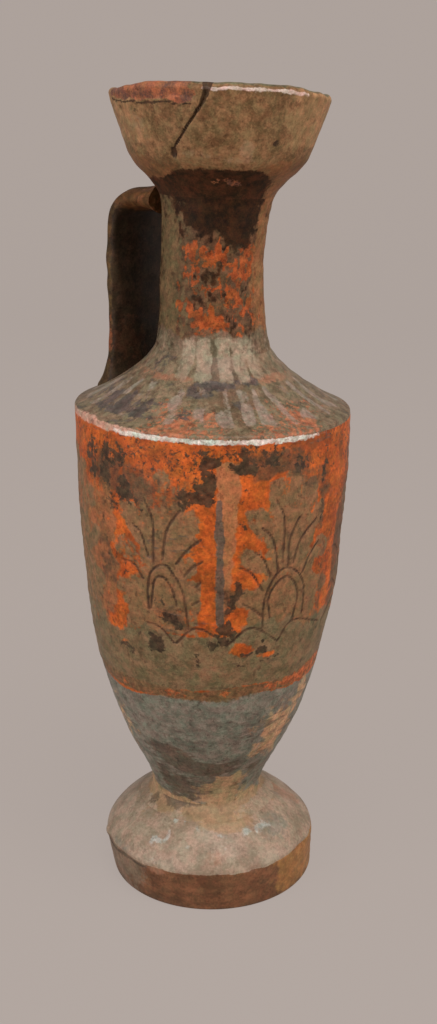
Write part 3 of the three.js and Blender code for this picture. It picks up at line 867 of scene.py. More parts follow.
def shoulderFields(turn, height, radius, outer):
    slow = waves(turn, height, 14, 9, 41)
    quick = waves(turn, height, 4, 3, 42, 60)
    front = 1 - smooth(np.abs(turnGap(turn, 18)), 40, 62)
    start, end = shoulderLook["rayRadii"]
    half = np.interp(radius, [start, end], shoulderLook["rayHalf"])
    rays = limbs(turn + 1.2 * quick, radius, rayTurns, half) * smooth(radius, start - 0.5, start + 1)
    rays = rays * (1 - smooth(radius + 0.5 * quick, end - 0.8, end + 0.5)) * (0.72 + 0.3 * quick)
    ring = bell(height + 0.15 * quick, shoulderLook["ringHeight"], 0.75)
    low, high = shoulderLook["glossHeights"]
    gloss = 0.95 * bell(turn, -52, 24) * smooth(height, low - 0.5, low + 0.6)
    gloss = gloss * (1 - smooth(height, high - 2.5, high + 0.5))
    spots = [(1, 107.3, 4.5, 0.9, 0.9), (-9, 106.3, 3.4, 1.3, 0.75), (24, 107.9, 3.2, 0.9, 0.8),
             (-35, 106.5, 5, 1.4, 0.35), (12, 104.4, 2.6, 1.4, 0.5), (-14, 103.2, 2.2, 1.3, 0.5)]
    gloss = np.maximum(gloss, patch(turn, height, 16, spots))
    gloss = np.maximum(gloss, (0.26 + 0.16 * slow) * (1 - front))
    bared = front * (0.34 + 0.16 * slow + 0.08 * quick) * (1 - smooth(height, 103.5, 106.5))
    bared = bared + 0.4 * bell(height, 107.9, 1.0) * bell(turn, 40, 22)
    peach = edgeBand(turn, height + 0.12 * quick, 0.2, 0.55, [-88, -78, -34, -22])
    # edge: painted highlight along the front of the rounded edge, partly pale wear
    edge = edgeBand(turn, height + 0.06 * quick, -0.1, 0.36, [-56, -30, 34, 58])
    return {
        "olive": np.clip(0.6 + 0.15 * slow + 0.3 * bell(turn, 66, 16), 0, 1) * outer,
        "bared": np.clip(bared, 0, 1) * outer,
        "rays": np.clip(rays, 0, 1) * (1 - 0.6 * smooth(gloss, 0.5, 0.9)),
        "tongues": tongueField(turn, height, radius),
        "ring": ring * (0.65 + 0.25 * slow) * (1 - smooth(np.abs(turnGap(turn, 0)), 60, 90) * 0.5),
        "gloss": np.clip(gloss, 0, 1) * (1 - 0.65 * rays) * outer,
        "peach": np.clip(peach, 0, 1) * outer,
        "edge": edge * (0.85 + 0.2 * quick),
    }


def makeShoulder():
    base, top, edgeRadius = heights["shoulderBase"], heights["shoulderTop"], radii["shoulder"]
    inner = edgeRadius - bodyLook["wall"]
    slope = joined(
        straight((edgeRadius, base), (edgeRadius, base + 0.25)),
        bend((edgeRadius, base + 0.25), (edgeRadius - 0.7, base + 0.95), (0, 0.6), (0.4, 0.95), step=0.12),
        bend((edgeRadius - 0.7, base + 0.95), (radii["shoulderTop"], top), (0.43, 0.26), (0.85, 0.64), step=0.34),
    )
    hole, holeFoot = radii["neckHole"], top - shoulderLook["collarDepth"]
    hidden = joined(
        straight((radii["shoulderTop"], top), (hole, top), step=1.0),
        straight((hole, top), (hole, holeFoot), step=2.0),
        bend((hole, holeFoot), (inner, base), (0.2, 0.34), (0.6, 0.78), step=2.0),
        straight((inner, base), (edgeRadius, base), step=1.5)[:-1],
    )
    profile = joined(slope, hidden)
    outside = (np.arange(len(profile)) < len(slope)).astype(float)
    grid, turn, height = turned(profile, 420, outside)
    outer = spread(outside, grid)
    radius = spread(profile[:, 0], grid)
    layers = [
        coat("olive", (0.075, 0.053, 0.031), (0.18, 0.13, 0.083), size=1.3, softness=0.7,
             strength=0.9, roughness=0.45, mottle=1.6),
        coat("bared", (0.18, 0.055, 0.025), (0.37, 0.13, 0.065), size=0.9, softness=0.3,
             strength=0.85, roughness=0.5, mottle=1.1, thickness=-0.02),
        coat("ring", (0.17, 0.062, 0.032), (0.3, 0.14, 0.088), size=1.0, softness=0.7,
             strength=0.6, roughness=0.45),
        coat("gloss", (0.034, 0.025, 0.023), (0.085, 0.066, 0.06), size=1.6, softness=0.4,
             strength=0.9, roughness=0.36, mottle=1.8, thickness=0.015),
        coat("rays", (0.14, 0.107, 0.086), (0.24, 0.19, 0.158), size=0.9, softness=0.7,
             strength=0.75, roughness=0.45, mottle=1.2),
        coat("tongues", (0.16, 0.12, 0.085), (0.26, 0.2, 0.145), size=0.9, softness=0.9,
             strength=0.8, roughness=0.45, mottle=1.5),
        peachEdge,
        # painted highlight on the shoulder's edge
        paintedEdgeHighlight,
    ]
    ground = clay((0.065, 0.038, 0.021), (0.12, 0.076, 0.046), size=2.4, roughness=0.45)
    piece = addPiece("sloping_shoulder", grid, shoulderFields(turn, height, radius, outer), closed=True)
    material = pottery("rayedShoulderClay", ground, layers, grain=0.7, grainDepth=0.05)
    finishPiece(piece, material, "shoulder_clay", "shoulder")


# Neck: its dark gloss has flaked to the orange clay in front
neckSpots = [(-20, 131.6, 1.7, 2.0, 0.95), (7, 131.2, 2.6, 2.4, 1.0), (0, 128.8, 2.2, 1.4, 0.8),
             (46, 129.8, 1.8, 1.6, 0.8),
             (34, 127.0, 2.2, 2.2, 0.95), (-19, 127.0, 1.9, 1.2, 0.95),
             (-19, 123.8, 1.8, 1.3, 0.8), (3, 124.1, 1.8, 1.3, 0.8),
             (-24, 119.9, 2.4, 1.5, 0.9), (-8, 119.4, 3.0, 2.2, 1.0),
             (38, 122.2, 2.2, 2.4, 0.95), (-14, 117.6, 2.8, 1.4, 0.9),
             (29, 116.0, 2.0, 1.4, 0.85), (53, 118.2, 1.6, 2.0, 0.6),
             (8, 142, 2.8, 0.9, 0.55), (11, 135, 1.5, 1.6, 0.45),
             (20, 119.8, 2.6, 1.0, 0.6), (8, 116.5, 1.8, 1.0, 0.6)]
neckDark = [(-3, 126.6, 2.6, 1.6, 1.0), (-9, 134.4, 2.6, 1.8, 0.95), (1, 122.0, 1.6, 1.3, 0.95),
            (18, 132.3, 1.2, 1.3, 0.9),
            (40, 124.2, 1.0, 1.6, 0.9), (21, 118.2, 1.0, 1.8, 0.95), (44, 117.0, 1.6, 1.4, 0.8),
            (-13, 122.2, 1.4, 1.2, 0.9)]


def neckFields(turn, height, radius, outer):
    slow = waves(turn, height, 12, 10, 51)
    quick = waves(turn, height, 3, 3, 52, 60)
    ragged = waves(turn, height, 2.4, 2.4, 53, 60)
    bentTurn, bentHeight = turn + 5.0 * ragged, height + 0.7 * quick
    inFront = smooth(bentTurn, -38, -18) * (1 - smooth(bentTurn, 44, 62))
    inFront = inFront * smooth(bentHeight, 114.5, 117) * (1 - smooth(bentHeight, 130, 136))
    bared = np.maximum(0.46 * inFront, 0.92 * patch(bentTurn, bentHeight, 10.2, neckSpots))
    film = np.clip(0.92 - 0.92 * bared + 0.08 * quick + 0.9 * patch(bentTurn, bentHeight, 10.2, neckDark), 0, 1)
    sideOlive = 0.9 * smooth(-bentTurn, 26, 46) * (1 - smooth(-turn, 80, 110))
    sideOlive = sideOlive * (1 - smooth(height + slow, 136, 146))
    sideTan = smooth(turn + 2 * ragged, 38, 60) * (1 - smooth(turn, 110, 140)) * (0.8 + 0.1 * slow)
    dark = np.maximum(smooth(height + 1.3 * slow, 131.0, 135.5) * (1 - 0.95 * sideTan) * (1 - 0.85 * sideOlive),
                      patch(bentTurn, bentHeight, 10.2, neckDark) * 0.7)
    dark = np.maximum(dark, smooth(np.abs(turnGap(turn, -150)), 100, 60) * 0.6)
    return {
        "film": film,
        "sideOlive": sideOlive,
        "sideTan": sideTan,
        "dark": np.clip(dark, 0, 1),
        "tongues": tongueField(turn, height, radius),
        "ashen": (1 - smooth(height + 0.6 * slow, 114.5, 117.5)) * 0.9,
    }


neckLayers = [
    coat("film", (0.04, 0.024, 0.013), (0.108, 0.06, 0.031), size=1.2, softness=0.25,
         strength=0.93, roughness=0.55, mottle=1.6, thickness=0.02),
    coat("sideTan", (0.15, 0.062, 0.025), (0.24, 0.115, 0.05), size=2.0, softness=0.8,
         strength=0.85, roughness=0.55),
    coat("sideOlive", (0.07, 0.046, 0.022), (0.13, 0.086, 0.042), size=2.0, softness=0.8,
         strength=0.85, roughness=0.5),
    coat("ashen", (0.08, 0.055, 0.035), (0.15, 0.108, 0.074), size=1.4, softness=0.8,
         strength=0.85, roughness=0.5),
    coat("dark", (0.007, 0.003, 0.001), (0.036, 0.013, 0.004), size=1.6, softness=0.6,
         strength=0.95, roughness=0.65, mottle=1.8),
    coat("tongues", (0.18, 0.138, 0.1), (0.3, 0.235, 0.175), size=0.9, softness=0.9,
         strength=0.8, roughness=0.5, mottle=1.5),
]


neckLook = {"waist": (9.8, 12.6)}  # radius, and height above the neck's base


def makeNeck():
    base, bore = heights["neckBase"], radii["bore"]
    waist = (neckLook["waist"][0], base + neckLook["waist"][1])
    wall = joined(
        bend((radii["shoulderTop"], heights["shoulderTop"]), waist, (0.6, 0.18), (1, 0.5), step=0.4),
        bend(waist, (radii["neckTop"], heights["mouthBase"]), (0, 0.4), (0.16, 0.8), step=0.4),
    )
    tenon, tenonTop = radii["neckTenon"], heights["shoulderTop"]
    tenonFoot = tenonTop - shoulderLook["tenonDepth"]
    hidden = joined(
        straight((radii["neckTop"], heights["mouthBase"]), (bore, heights["mouthBase"]), step=1.5),
        straight((bore, heights["mouthBase"]), (bore, tenonFoot), step=1.5),
        straight((bore, tenonFoot), (tenon, tenonFoot), step=1.5),
        straight((tenon, tenonFoot), (tenon, tenonTop), step=1.5),
        straight((tenon, tenonTop), (radii["shoulderTop"], tenonTop), step=1.5)[:-1],
    )
    profile = joined(wall, hidden)
    outside = (np.arange(len(profile)) < len(wall)).astype(float)
    grid, turn, height = turned(profile, 300, outside)
    outer = spread(outside, grid)
    radius = spread(profile[:, 0], grid)
    ground = clay((0.12, 0.027, 0.007), (0.29, 0.068, 0.018), size=2.0, roughness=0.55)
    piece = addPiece("narrow_neck", grid, neckFields(turn, height, radius, outer), closed=True)
    material = pottery("flakedNeckClay", ground, neckLayers, grain=0.7, grainDepth=0.06, sheen=0.1, weather=1.0)
    finishPiece(piece, material, "neck_clay", "neck", "neck_joint_slip")


# Mouth: a calyx cup with a crack that runs down from a chip in the lip
crackPath = [(-6, 160.5), (-7.5, 158), (-11, 155.9), (-17.5, 153.3), (-24, 150.7), (-28, 149.3)]
crackHeights = [149, 151, 156, 158.5, 160]  # at which its half width is given
mouthLook = {"pit": (-28.5, 148.6), "worn": (-71, -14), "lipHighlightTurns": (-10, 62)}


def crackDepth(turn, height, outer):
    # the groove of the crack, wider at the chip in the lip and at the pit where it ends
    distance = strokeDistance(turn, height, 18.0, [crackPath])
    wide = np.interp(height, crackHeights, [0.26, 0.16, 0.24, 0.5, 0.8])
    depth = 0.55 * (1 - smooth(distance, wide * 0.3, wide * 1.1))
    pit = 0.7 * patch(turn, height, 17.0, [(*mouthLook["pit"], 0.75, 1.0, 1.0)])
    start, end = mouthLook["worn"]
    inside = smooth(turn, start - 3, start + 2) * (1 - smooth(turn, end - 1, end + 3))
    bevel = 0.32 * inside * smooth(height + 0.25 * waves(turn, height, 5, 3, 61), 157.0, 157.5)
    return -np.maximum(np.maximum(depth, pit), bevel) * outer


def lipRise(turn, height):
    # the lip sagged in the kiln: it stands highest in front and lowest at the sides
    around = np.abs(turn)
    rise = 0.65 - 1.9 * smooth(around, 15, 95) + 0.6 * smooth(around, 110, 170)
    uneven = 0.1 * waves(turn, 0 * height, 5, 9, 64) * smooth(height, 157.5, 159)
    return rise * smooth(height, 151, 159.5) + uneven


def mouthFields(turn, height, outer, within):
    slow = waves(turn, height, 14, 7, 62)
    quick = waves(turn, height, 3.5, 3, 63, 60)
    start, end = mouthLook["worn"]
    inside = smooth(turn, start - 8, start) * (1 - smooth(turn + 1.5 * quick, end - 3, end + 3))
    lip = smooth(height + 0.2 * quick + lipRise(turn, height), 157.0, 157.6)
    # painted highlight on the lip's right half, just below its top
    highlightStart, highlightEnd = mouthLook["lipHighlightTurns"]
    lipHighlight = bell(height + 0.1 * quick, 159.0, 0.36) * smooth(turn, highlightStart - 2, highlightStart + 4)
    lipHighlight = lipHighlight * (1 - smooth(turn, highlightEnd - 25, highlightEnd))
    rimTop = smooth(height, 159.4, 159.9) * smooth(turn, -22, -10) * 0.8
    sides = smooth(np.abs(turnGap(turn, -2)), 24, 55)
    under = 1 - smooth(height + 0.3 * slow + 2.2 * sides, 144.9, 146.9)
    under = under * (1 - 0.76 * smooth(turn + 2 * quick, 36, 58) * (1 - smooth(turn, 110, 140)))
    rust = (1 - smooth(height + 0.5 * slow, 145.5, 150.5)) * (0.45 + 0.45 * sides)
    distance = strokeDistance(turn, height, 18.0, [crackPath])
    wide = np.interp(height, crackHeights, [0.42, 0.26, 0.38, 0.75, 1.05])
    pits = [(*mouthLook["pit"], 0.8, 1.1, 1.0), (34, 150.6, 0.7, 0.8, 0.8), (22, 150.0, 0.6, 0.7, 0.5),
            (1, 150.6, 1.6, 0.8, 0.5), (-50, 155.4, 0.8, 0.5, 0.4)]
    crackAndLipShadow = np.maximum(1 - smooth(distance, wide * 0.45, wide * 1.15), patch(turn, height, 17.0, pits))
    # a painted shadow line under the worn band of the lip
    lipShadowLine = bell(height + 0.15 * quick + lipRise(turn, height), 156.9, 0.26) * inside * 0.8
    chip = patch(turn + 3 * quick, height, 12.0, [(9, 143.6, 2.8, 0.8, 0.6)])
    paleSpots = [(16, 149.4, 1.8, 1.8, 0.9), (-14, 148.4, 4.0, 1.2, 0.5), (12, 147.6, 4.0, 0.8, 0.6),
                 (-52, 152, 3.5, 3.5, 0.5)]
    return {
        "rimTop": rimTop * outer,
        "worn": np.maximum(inside * lip * 0.95, chip) * outer,
        # painted highlight on the lip
        "lipHighlight": lipHighlight * (0.85 + 0.15 * quick) * outer,
        "under": under * outer,
        "rust": rust * outer,
        # the crack and its pits, with the painted shadow line under the worn lip
        "crackAndLipShadow": np.clip(np.maximum(crackAndLipShadow, lipShadowLine), 0, 1) * outer,
        "speck": np.clip(0.12 + 0.05 * slow, 0, 1),
        "pale": patch(turn, height, 17.0, paleSpots) * outer,
        # painted light: the flaring wall of the cup made lighter towards both sides
        "paintedSideLight": sides * (0.75 + 0.12 * slow) * smooth(height, 148.5, 151) * outer,
        "within": within,
    }


def makeMouth():
    base, bore, rim = heights["mouthBase"], radii["bore"], radii["rim"]
    edge, lipTop = (16.06, base + 5.5), heights["lipTop"]
    outerRim, innerRim, crest = (rim, lipTop - 1.0), (rim - 3.1, lipTop - 1.8), (rim - 1.1, lipTop)
    wall = joined(
        softened(joined(
            bend((radii["neckTop"], base), edge, (0.14, 0.33), (0.57, 0.8), step=0.36),
            bend(edge, outerRim, (0.38, 0.34), (0.7, 0.67), step=0.36),
        ), 7),
        bend(outerRim, crest, (0, 0.6), (0.4, 1), step=0.15),
    )
    cup = joined(
        bend(crest, innerRim, (0.5, 0), (1, 0.45), step=0.2),
        bend(innerRim, (bore, base + 3.6), (0.28, 0.55), (0.6, 0.93), step=0.5),
        straight((bore, base + 3.6), (bore, base), step=0.8),
    )
    hidden = straight((bore, base), (radii["neckTop"], base), step=1.5)[1:-1]
    profile = joined(wall, cup, hidden)
    past = np.arange(len(profile)) - len(wall)
    outside = np.clip(1 - past / 6.0, 0, 1)  # the unevenness of the wall fades over six rows of the cup
    grid, turn, height = turned(profile, 380, outside, crackDepth)
    grid[..., 2] += lipRise(turn, height)
    outer = spread(outside, grid)
    within = spread((past >= 8).astype(float), grid)
    layers = [
        # painted light on the cup's flaring sides
        coat("paintedSideLight", (0.17, 0.095, 0.045), (0.31, 0.18, 0.092), size=1.6, softness=0.9,
             strength=0.85, roughness=0.55, mottle=2.0),
        coat("speck", (0.09, 0.06, 0.033), (0.14, 0.09, 0.05), size=2.2, softness=0.5,
             strength=0.6, roughness=0.5, pattern="streaks"),
        coat("pale", (0.26, 0.16, 0.09), (0.3, 0.19, 0.115), size=1.4, softness=0.5,
             strength=0.5, roughness=0.5),
        coat("within", (0.07, 0.045, 0.026), (0.15, 0.095, 0.055), size=2.5, softness=0.6,
             strength=0.8, roughness=0.5),
        coat("rust", (0.1, 0.042, 0.017), (0.19, 0.078, 0.03), size=1.8, softness=0.8,
             strength=0.8, roughness=0.55),
        coat("under", (0.012, 0.006, 0.002), (0.055, 0.018, 0.007), size=1.3, softness=0.6,
             strength=0.97, roughness=0.7, mottle=1.8, thickness=0.02),
        coat("worn", (0.075, 0.034, 0.03), (0.3, 0.1, 0.045), size=1.0, softness=0.3,
             strength=0.92, roughness=0.5, mottle=2.4, thickness=-0.02),
        coat("rimTop", (0.06, 0.052, 0.03), (0.13, 0.11, 0.066), size=1.1, softness=0.6,
             strength=0.85, roughness=0.45, mottle=1.4),
        # painted highlight on the lip: pale colour with a low roughness
        coat("lipHighlight", (0.4, 0.27, 0.24), (0.66, 0.53, 0.5), size=1.1, softness=0.6,
             strength=0.8, roughness=0.3),
        # dark crack and pits, and the painted shadow line under the worn lip
        coat("crackAndLipShadow", (0.02, 0.01, 0.006), (0.05, 0.025, 0.013), size=0.9, softness=0.5,
             strength=0.92, roughness=0.6),
    ]
    ground = clay((0.1, 0.053, 0.023), (0.195, 0.11, 0.054), size=2.8, roughness=0.55)
    piece = addPiece("calyx_mouth", grid, mouthFields(turn, height, outer, within), closed=True)
    material = pottery("glazedMouthClay", ground, layers, grain=0.6, grainDepth=0.045, sheen=0.12)
    finishPiece(piece, material, "mouth_clay", "mouth", "mouth_joint_slip")


makeShoulder()
makeNeck()
makeMouth()


# Foot: a disc with a domed top, and the fillet of slip round the stem
footLook = {"seatRadius": 14.2, "baseRadius": 21.0, "edgeHeight": 8.4, "hollowRadius": 12.0, "hollowDepth": 4.0}
footSpots = [(-29, 13.2, 1.6, 1.1, 0.9), (-21, 15.6, 1.2, 0.7, 0.8), (24, 15.1, 2.0, 0.9, 1.0),
             (41, 14.6, 1.4, 0.8, 0.8), (-6, 14.6, 1.4, 0.7, 0.5), (12, 14.2, 1.6, 0.6, 0.5),
             (57, 13.2, 1.6, 1.0, 0.5), (8, 12.2, 2.2, 0.8, 0.4)]


def footShift(turn, height, outer):
    # chips at the edge: one behind on the right, small ones along the front, and a burr on the left
    chips = 1.1 * patch(turn, height, 16.0, [(93, 16.3, 2.4, 1.8, 1.0), (97, 14.0, 2.2, 1.6, 0.6)])
    smallSpots = [(-30, 8.6, 1.6, 0.8, 1.0), (26, 8.6, 1.2, 0.7, 0.8), (58, 8.4, 2.0, 0.8, 0.7),
                  (-52, 8.4, 2.6, 0.7, 0.8)]
    small = 0.28 * patch(turn, height, 21.5, smallSpots)
    burr = 0.45 * patch(turn, height, 21.5, [(-79, 8.9, 1.5, 0.9, 1.0)])
    ragged = 0.06 * bell(height, 8.4, 0.8) * waves(turn, height, 6, 3, 71, 60)
    return (burr - chips - small + ragged) * outer


def footFields(turn, height, outer):
    slow = waves(turn, height, 16, 6, 72)
    quick = waves(turn, height, 4, 3, 73, 60)
    top = smooth(height + 0.14 * slow + 0.05 * quick, 8.2, 8.9)
    leftSide = smooth(-turn, 22, 48) * (1 - smooth(-turn, 120, 150))
    rightSide = smooth(turn + 3 * quick, 28, 52) * (1 - smooth(turn, 120, 150))
    # painted shadow: a dark line just below the slip's edge on the left
    slipEdgeShadow = bell(height + 0.15 * quick, 8.0, 0.42) * smooth(-turn, 24, 46) * (1 - smooth(-turn, 96, 120))
    rosySpots = [(5, 11.6, 3.0, 1.6, 0.6), (-30, 8.0, 2.4, 0.9, 0.8), (-24, 11.2, 4, 1.4, 0.35),
                 (95, 14.5, 2.5, 3.0, 0.8)]
    white = patch(turn + 4 * quick, height + 0.5 * slow, 18.0, footSpots)
    greyRight = bell(turn, 52, 18) * bell(height, 13.6, 2.6)
    greyLeft = bell(turn, -58, 12) * bell(height, 9.6, 1.2)
    return {
        "slipEdgeShadow": np.clip(slipEdgeShadow, 0, 1) * outer,
        "top": top * 0.98 * outer,
        "leftSide": leftSide * (0.85 + 0.1 * slow) * (1 - 0.5 * (1 - smooth(height, 2, 5))),
        "rightSide": rightSide * 0.9,
        "rosy": np.clip(patch(turn, height, 20.0, rosySpots) + 0.08 * slow * top, 0, 1),
        "white": 0.75 * white + 0.1 * np.maximum(quick, 0) * top,
        "grey": np.clip(greyRight * 0.7 + greyLeft * 0.6, 0, 1),
        "tan": np.maximum(bell(turn, 14, 30), 0.35) * smooth(height + 0.5 * slow, 13.8, 16.2) * top,
        # a little darker all over the foot, and more in its lowest 2 mm
        "darkerToBase": np.clip(0.16 + 0.1 * slow + 0.5 * (1 - smooth(height, 0.2, 2.0)), 0, 1),
    }


def makeFoot():
    top, edge, baseRadius = heights["footTop"], radii["footEdge"], footLook["baseRadius"]
    edgeHeight, seat = footLook["edgeHeight"], footLook["seatRadius"]
    hollow = bend((0.0, footLook["hollowDepth"]), (footLook["hollowRadius"], 0.0), (0.6, 0), (0.92, 0.5), step=0.9)
    under = straight((footLook["hollowRadius"], 0.0), (baseRadius - 0.5, 0.0), step=0.8)
    wall = joined(
        bend((baseRadius - 0.5, 0.0), (baseRadius, 0.5), (0.6, 0), (1, 0.4), step=0.2),
        straight((baseRadius, 0.5), (edge, edgeHeight - 0.35), step=0.36),
        bend((edge, edgeHeight - 0.35), (edge - 0.12, edgeHeight + 0.25), (0.1, 0.4), (0.4, 0.8), step=0.15),
        bend((edge - 0.12, edgeHeight + 0.25), (seat, top), (0.026, 0.23), (0.447, 0.667), step=0.36),
    )
    profile = joined(hollow, under, wall, straight((seat, top), (0.4, top), step=2.0))
    profile = profile[profile[:, 0] > 0.05]
    first = len(joined(hollow, under)) - 1
    number = np.arange(len(profile))
    onWall = ((number >= first) & (number < first + len(wall))).astype(float)
    outside = onWall * np.clip(profile[:, 1], 0, 1)  # the lowest millimetre keeps its true circle
    grid, turn, height = turned(profile, 360, outside, footShift)
    outer = spread(onWall, grid)
    layers = [
        coat("leftSide", (0.11, 0.075, 0.05), (0.19, 0.13, 0.09), size=2.4, softness=0.6,
             strength=0.85, roughness=0.5),
        coat("rightSide", (0.185, 0.08, 0.026), (0.28, 0.135, 0.045), size=1.6, softness=0.8,
             strength=0.85, roughness=0.5, mottle=2.0),
        # darker all over, and more towards the base
        coat("darkerToBase", (0.06, 0.032, 0.018), (0.1, 0.052, 0.03), size=2.0, softness=0.6,
             strength=0.55, roughness=0.6),
        coat("top", (0.175, 0.124, 0.088), (0.27, 0.2, 0.15), size=2.4, softness=0.25,
             strength=0.97, roughness=0.42, mottle=4.0, thickness=0.01),
        # painted shadow under the edge of the slip
        coat("slipEdgeShadow", (0.04, 0.026, 0.018), (0.085, 0.055, 0.038), size=1.2, softness=0.8,
             strength=0.85, roughness=0.6),
        coat("grey", (0.13, 0.112, 0.09), (0.21, 0.185, 0.15), size=1.4, softness=0.8,
             strength=0.8, roughness=0.45, mottle=1.8),
        coat("tan", (0.19, 0.12, 0.068), (0.28, 0.182, 0.105), size=1.4, softness=0.8,
             strength=0.85, roughness=0.5),
        coat("rosy", (0.22, 0.1, 0.06), (0.31, 0.155, 0.1), size=1.4, softness=0.9,
             strength=0.5, roughness=0.5),
        coat("white", (0.24, 0.25, 0.235), (0.37, 0.4, 0.39), size=0.8, softness=0.9,
             strength=0.6, roughness=0.35, mottle=1.0),
    ]
    ground = clay((0.085, 0.036, 0.017), (0.155, 0.067, 0.032), size=4.0, roughness=0.5)
    piece = addPiece("disc_foot", grid, footFields(turn, height, outer), closed=False)
    material = pottery("firedFootClay", ground, layers, grain=0.8, grainDepth=0.05, weather=0.6)
    finishPiece(piece, material, "foot_clay", "foot")


def makeStemSlip():
    top, stemBase, seat, stem = heights["footTop"], heights["stemBase"], footLook["seatRadius"], radii["stem"]
    wall = bend((seat, top), (stem, stemBase), (0.65, 0.42), (0.98, 0.7), step=0.3)
    hole = radii["stemHole"]
    hidden = joined(
        straight((stem, stemBase), (hole, stemBase), step=1.2),
        straight((hole, stemBase), (hole, top), step=1.2),
        straight((hole, top), (seat, top), step=1.2)[:-1],
    )
    profile = joined(wall, hidden)
    outside = (np.arange(len(profile)) < len(wall)).astype(float)
    grid, turn, height = turned(profile, 300, outside)
    slow = waves(turn, height, 12, 6, 81)
    spots = [(-32, 18.6, 3.4, 1.4, 0.9), (-14, 18.8, 2.4, 0.7, 0.7), (-62, 17.2, 1.4, 1.2, 0.7)]
    fields = {
        "dark": np.clip(patch(turn, height, 12.0, spots) + 0.1 * slow, 0, 1),
        "pale": np.clip(1 - smooth(height + 0.6 * slow, top + 0.2, top + 2.2) - 0.75 * bell(turn, 14, 30), 0, 1),
    }
    layers = [
        coat("pale", (0.19, 0.138, 0.098), (0.295, 0.222, 0.166), size=1.6, softness=0.8,
             strength=0.85, roughness=0.5),
        coat("dark", (0.06, 0.042, 0.028), (0.12, 0.082, 0.05), size=1.2, softness=0.5,
             strength=0.85, roughness=0.5),
    ]
    ground = clay((0.19, 0.12, 0.068), (0.28, 0.182, 0.105), size=3.0, roughness=0.55)
    piece = addPiece("stem_slip", grid, fields, closed=True)
    material = pottery("buffSlip", ground, layers, grain=0.6, grainDepth=0.04, weather=0.6)
    finishPiece(piece, material, "foot_slip", "foot_joint_slip")


# Handle: a strap carried along its line in the upright plane behind on the left, and its two pads
handleLook = {
    "turn": 228.0,  # degrees of turn: 138 degrees from +X is 228 to the right of the front
    "width": 16.2,
    "thickness": 4.2,
    "reach": 19.7,
    "startRadius": 12.9,
    "drop": 1.0,
    "bend": 6.6,
    "rootInset": 6.4,
    "rootLift": 3.2,
    "rootBend": 8.0,
    "squareness": 2.7,
    "intoNeck": 3.6,  # how far the strap goes on past each end, into the pot's wall
    "intoShoulder": 4.6,
    "fillets": (0.9, 2.5),  # how far the luting clay spreads where it meets the neck and the shoulder
    "cup": (16.0, 5.5),  # radius of the mouth's wall near its widest, and height above the mouth's base
    "offSlope": 0.8,  # distance from the shoulder's slope for each mm straight above it
    "filletReach": 1.4,  # distance from the wall over which the spread falls away
    "filletFall": 0.8,  # how far the lower fillet comes down for each mm that it spreads
}


def slopeHeight(radius):
    # height of the shoulder's slope at a radius
    base, top = heights["shoulderBase"], heights["shoulderTop"]
    edge = (radii["shoulder"] - 0.7, base + 0.95)
    slope = bend(edge, (radii["shoulderTop"], top), (0.43, 0.26), (0.85, 0.64))[::-1]
    return np.interp(radius, slope[:, 0], slope[:, 1])


def handleLine():
    # middle line as (radius, height): out from the neck, down, and outward again to the shoulder
    look = handleLook
    start = (look["startRadius"], heights["neckTop"] - look["drop"])
    turnedDown = (look["reach"], start[1] - look["bend"])
    rootRadius = radii["shoulder"] - look["rootInset"]
    root = (rootRadius, float(slopeHeight(rootRadius)) + look["rootLift"])
    leaving = (look["reach"], root[1] + look["rootBend"])
    return joined(
        bend(start, turnedDown, (0.72, 0.01), (1, 0.25), step=0.3),
        straight(turnedDown, leaving, step=0.4),
        bend(leaving, root, (0, 0.45), (0.38, 0.78), step=0.3),
    )


def wallGap(radius, height):
    # how far a point lies off the pot: from the neck's wall beside the neck, and from the slope below it
    neckTop, waistHeight = heights["neckTop"], heights["neckBase"] + neckLook["waist"][1]
    cupRadius, cupHeight = handleLook["cup"]
    neckHeights = [heights["neckBase"], waistHeight, neckTop, heights["mouthBase"] + cupHeight]
    neckRadii = [radii["shoulderTop"], neckLook["waist"][0], radii["neckTop"], cupRadius]
    beside = radius - np.interp(height, neckHeights, neckRadii)
    above = handleLook["offSlope"] * (height - slopeHeight(radius))
    return np.where(height > waistHeight, beside, above)


def strap(line, widths, thicknesses, corners, roughen, seed, swell=0.0):
    # a rounded rectangle |a|^n + |b|^n = 1 carried along the line; n is the squareness. Its surface stands
    # off by a few cosines of the way along and the way round, and by the swell of the luting clay.
    way = np.gradient(line, axis=0)
    way = way / np.hypot(way[:, 0], way[:, 1])[:, None]
    through = np.stack([-way[:, 1], way[:, 0]], axis=-1)
    angle = np.linspace(0, 2 * math.pi, corners, endpoint=False)
    power = 2 / handleLook["squareness"]
    across = np.sign(np.cos(angle)) * np.abs(np.cos(angle)) ** power
    out = np.sign(np.sin(angle)) * np.abs(np.sin(angle)) ** power
    along = np.append(0, np.cumsum(np.hypot(*np.diff(line, axis=0).T)))[:, None]
    random = np.random.default_rng(seed)
    bumps = np.zeros((len(line), corners))
    for _ in range(50):
        lengthwise = random.normal(0, 0.55) * along
        wayRound = round(random.normal(0, 5)) * angle[None, :]
        bumps += np.cos(lengthwise + wayRound + random.uniform(0, 7))
    bumps = roughen * bumps / 5
    sideways = across[None, :] * (widths / 2 + bumps + swell)
    outward = out[None, :] * (thicknesses / 2 + bumps + swell)
    radius = line[:, 0][:, None] + outward * through[:, 0][:, None]
    height = line[:, 1][:, None] + outward * through[:, 1][:, None]
    plane = math.radians(handleLook["turn"])
    # the strap's width runs level, at right angles to its plane
    x = radius * math.sin(plane) + sideways * math.cos(plane)
    y = -radius * math.cos(plane) + sideways * math.sin(plane)
    grid = np.stack([x, y, height], axis=-1)
    return grid, across[None, :] + 0 * along, out[None, :] + 0 * along, along + 0 * across[None, :]


def drawnOut(end, before, length, step=0.3):
    # points that carry on from a line's end, the same way
    way = (end - before) / np.hypot(*(end - before))
    return end + way * np.arange(step, length, step)[:, None]


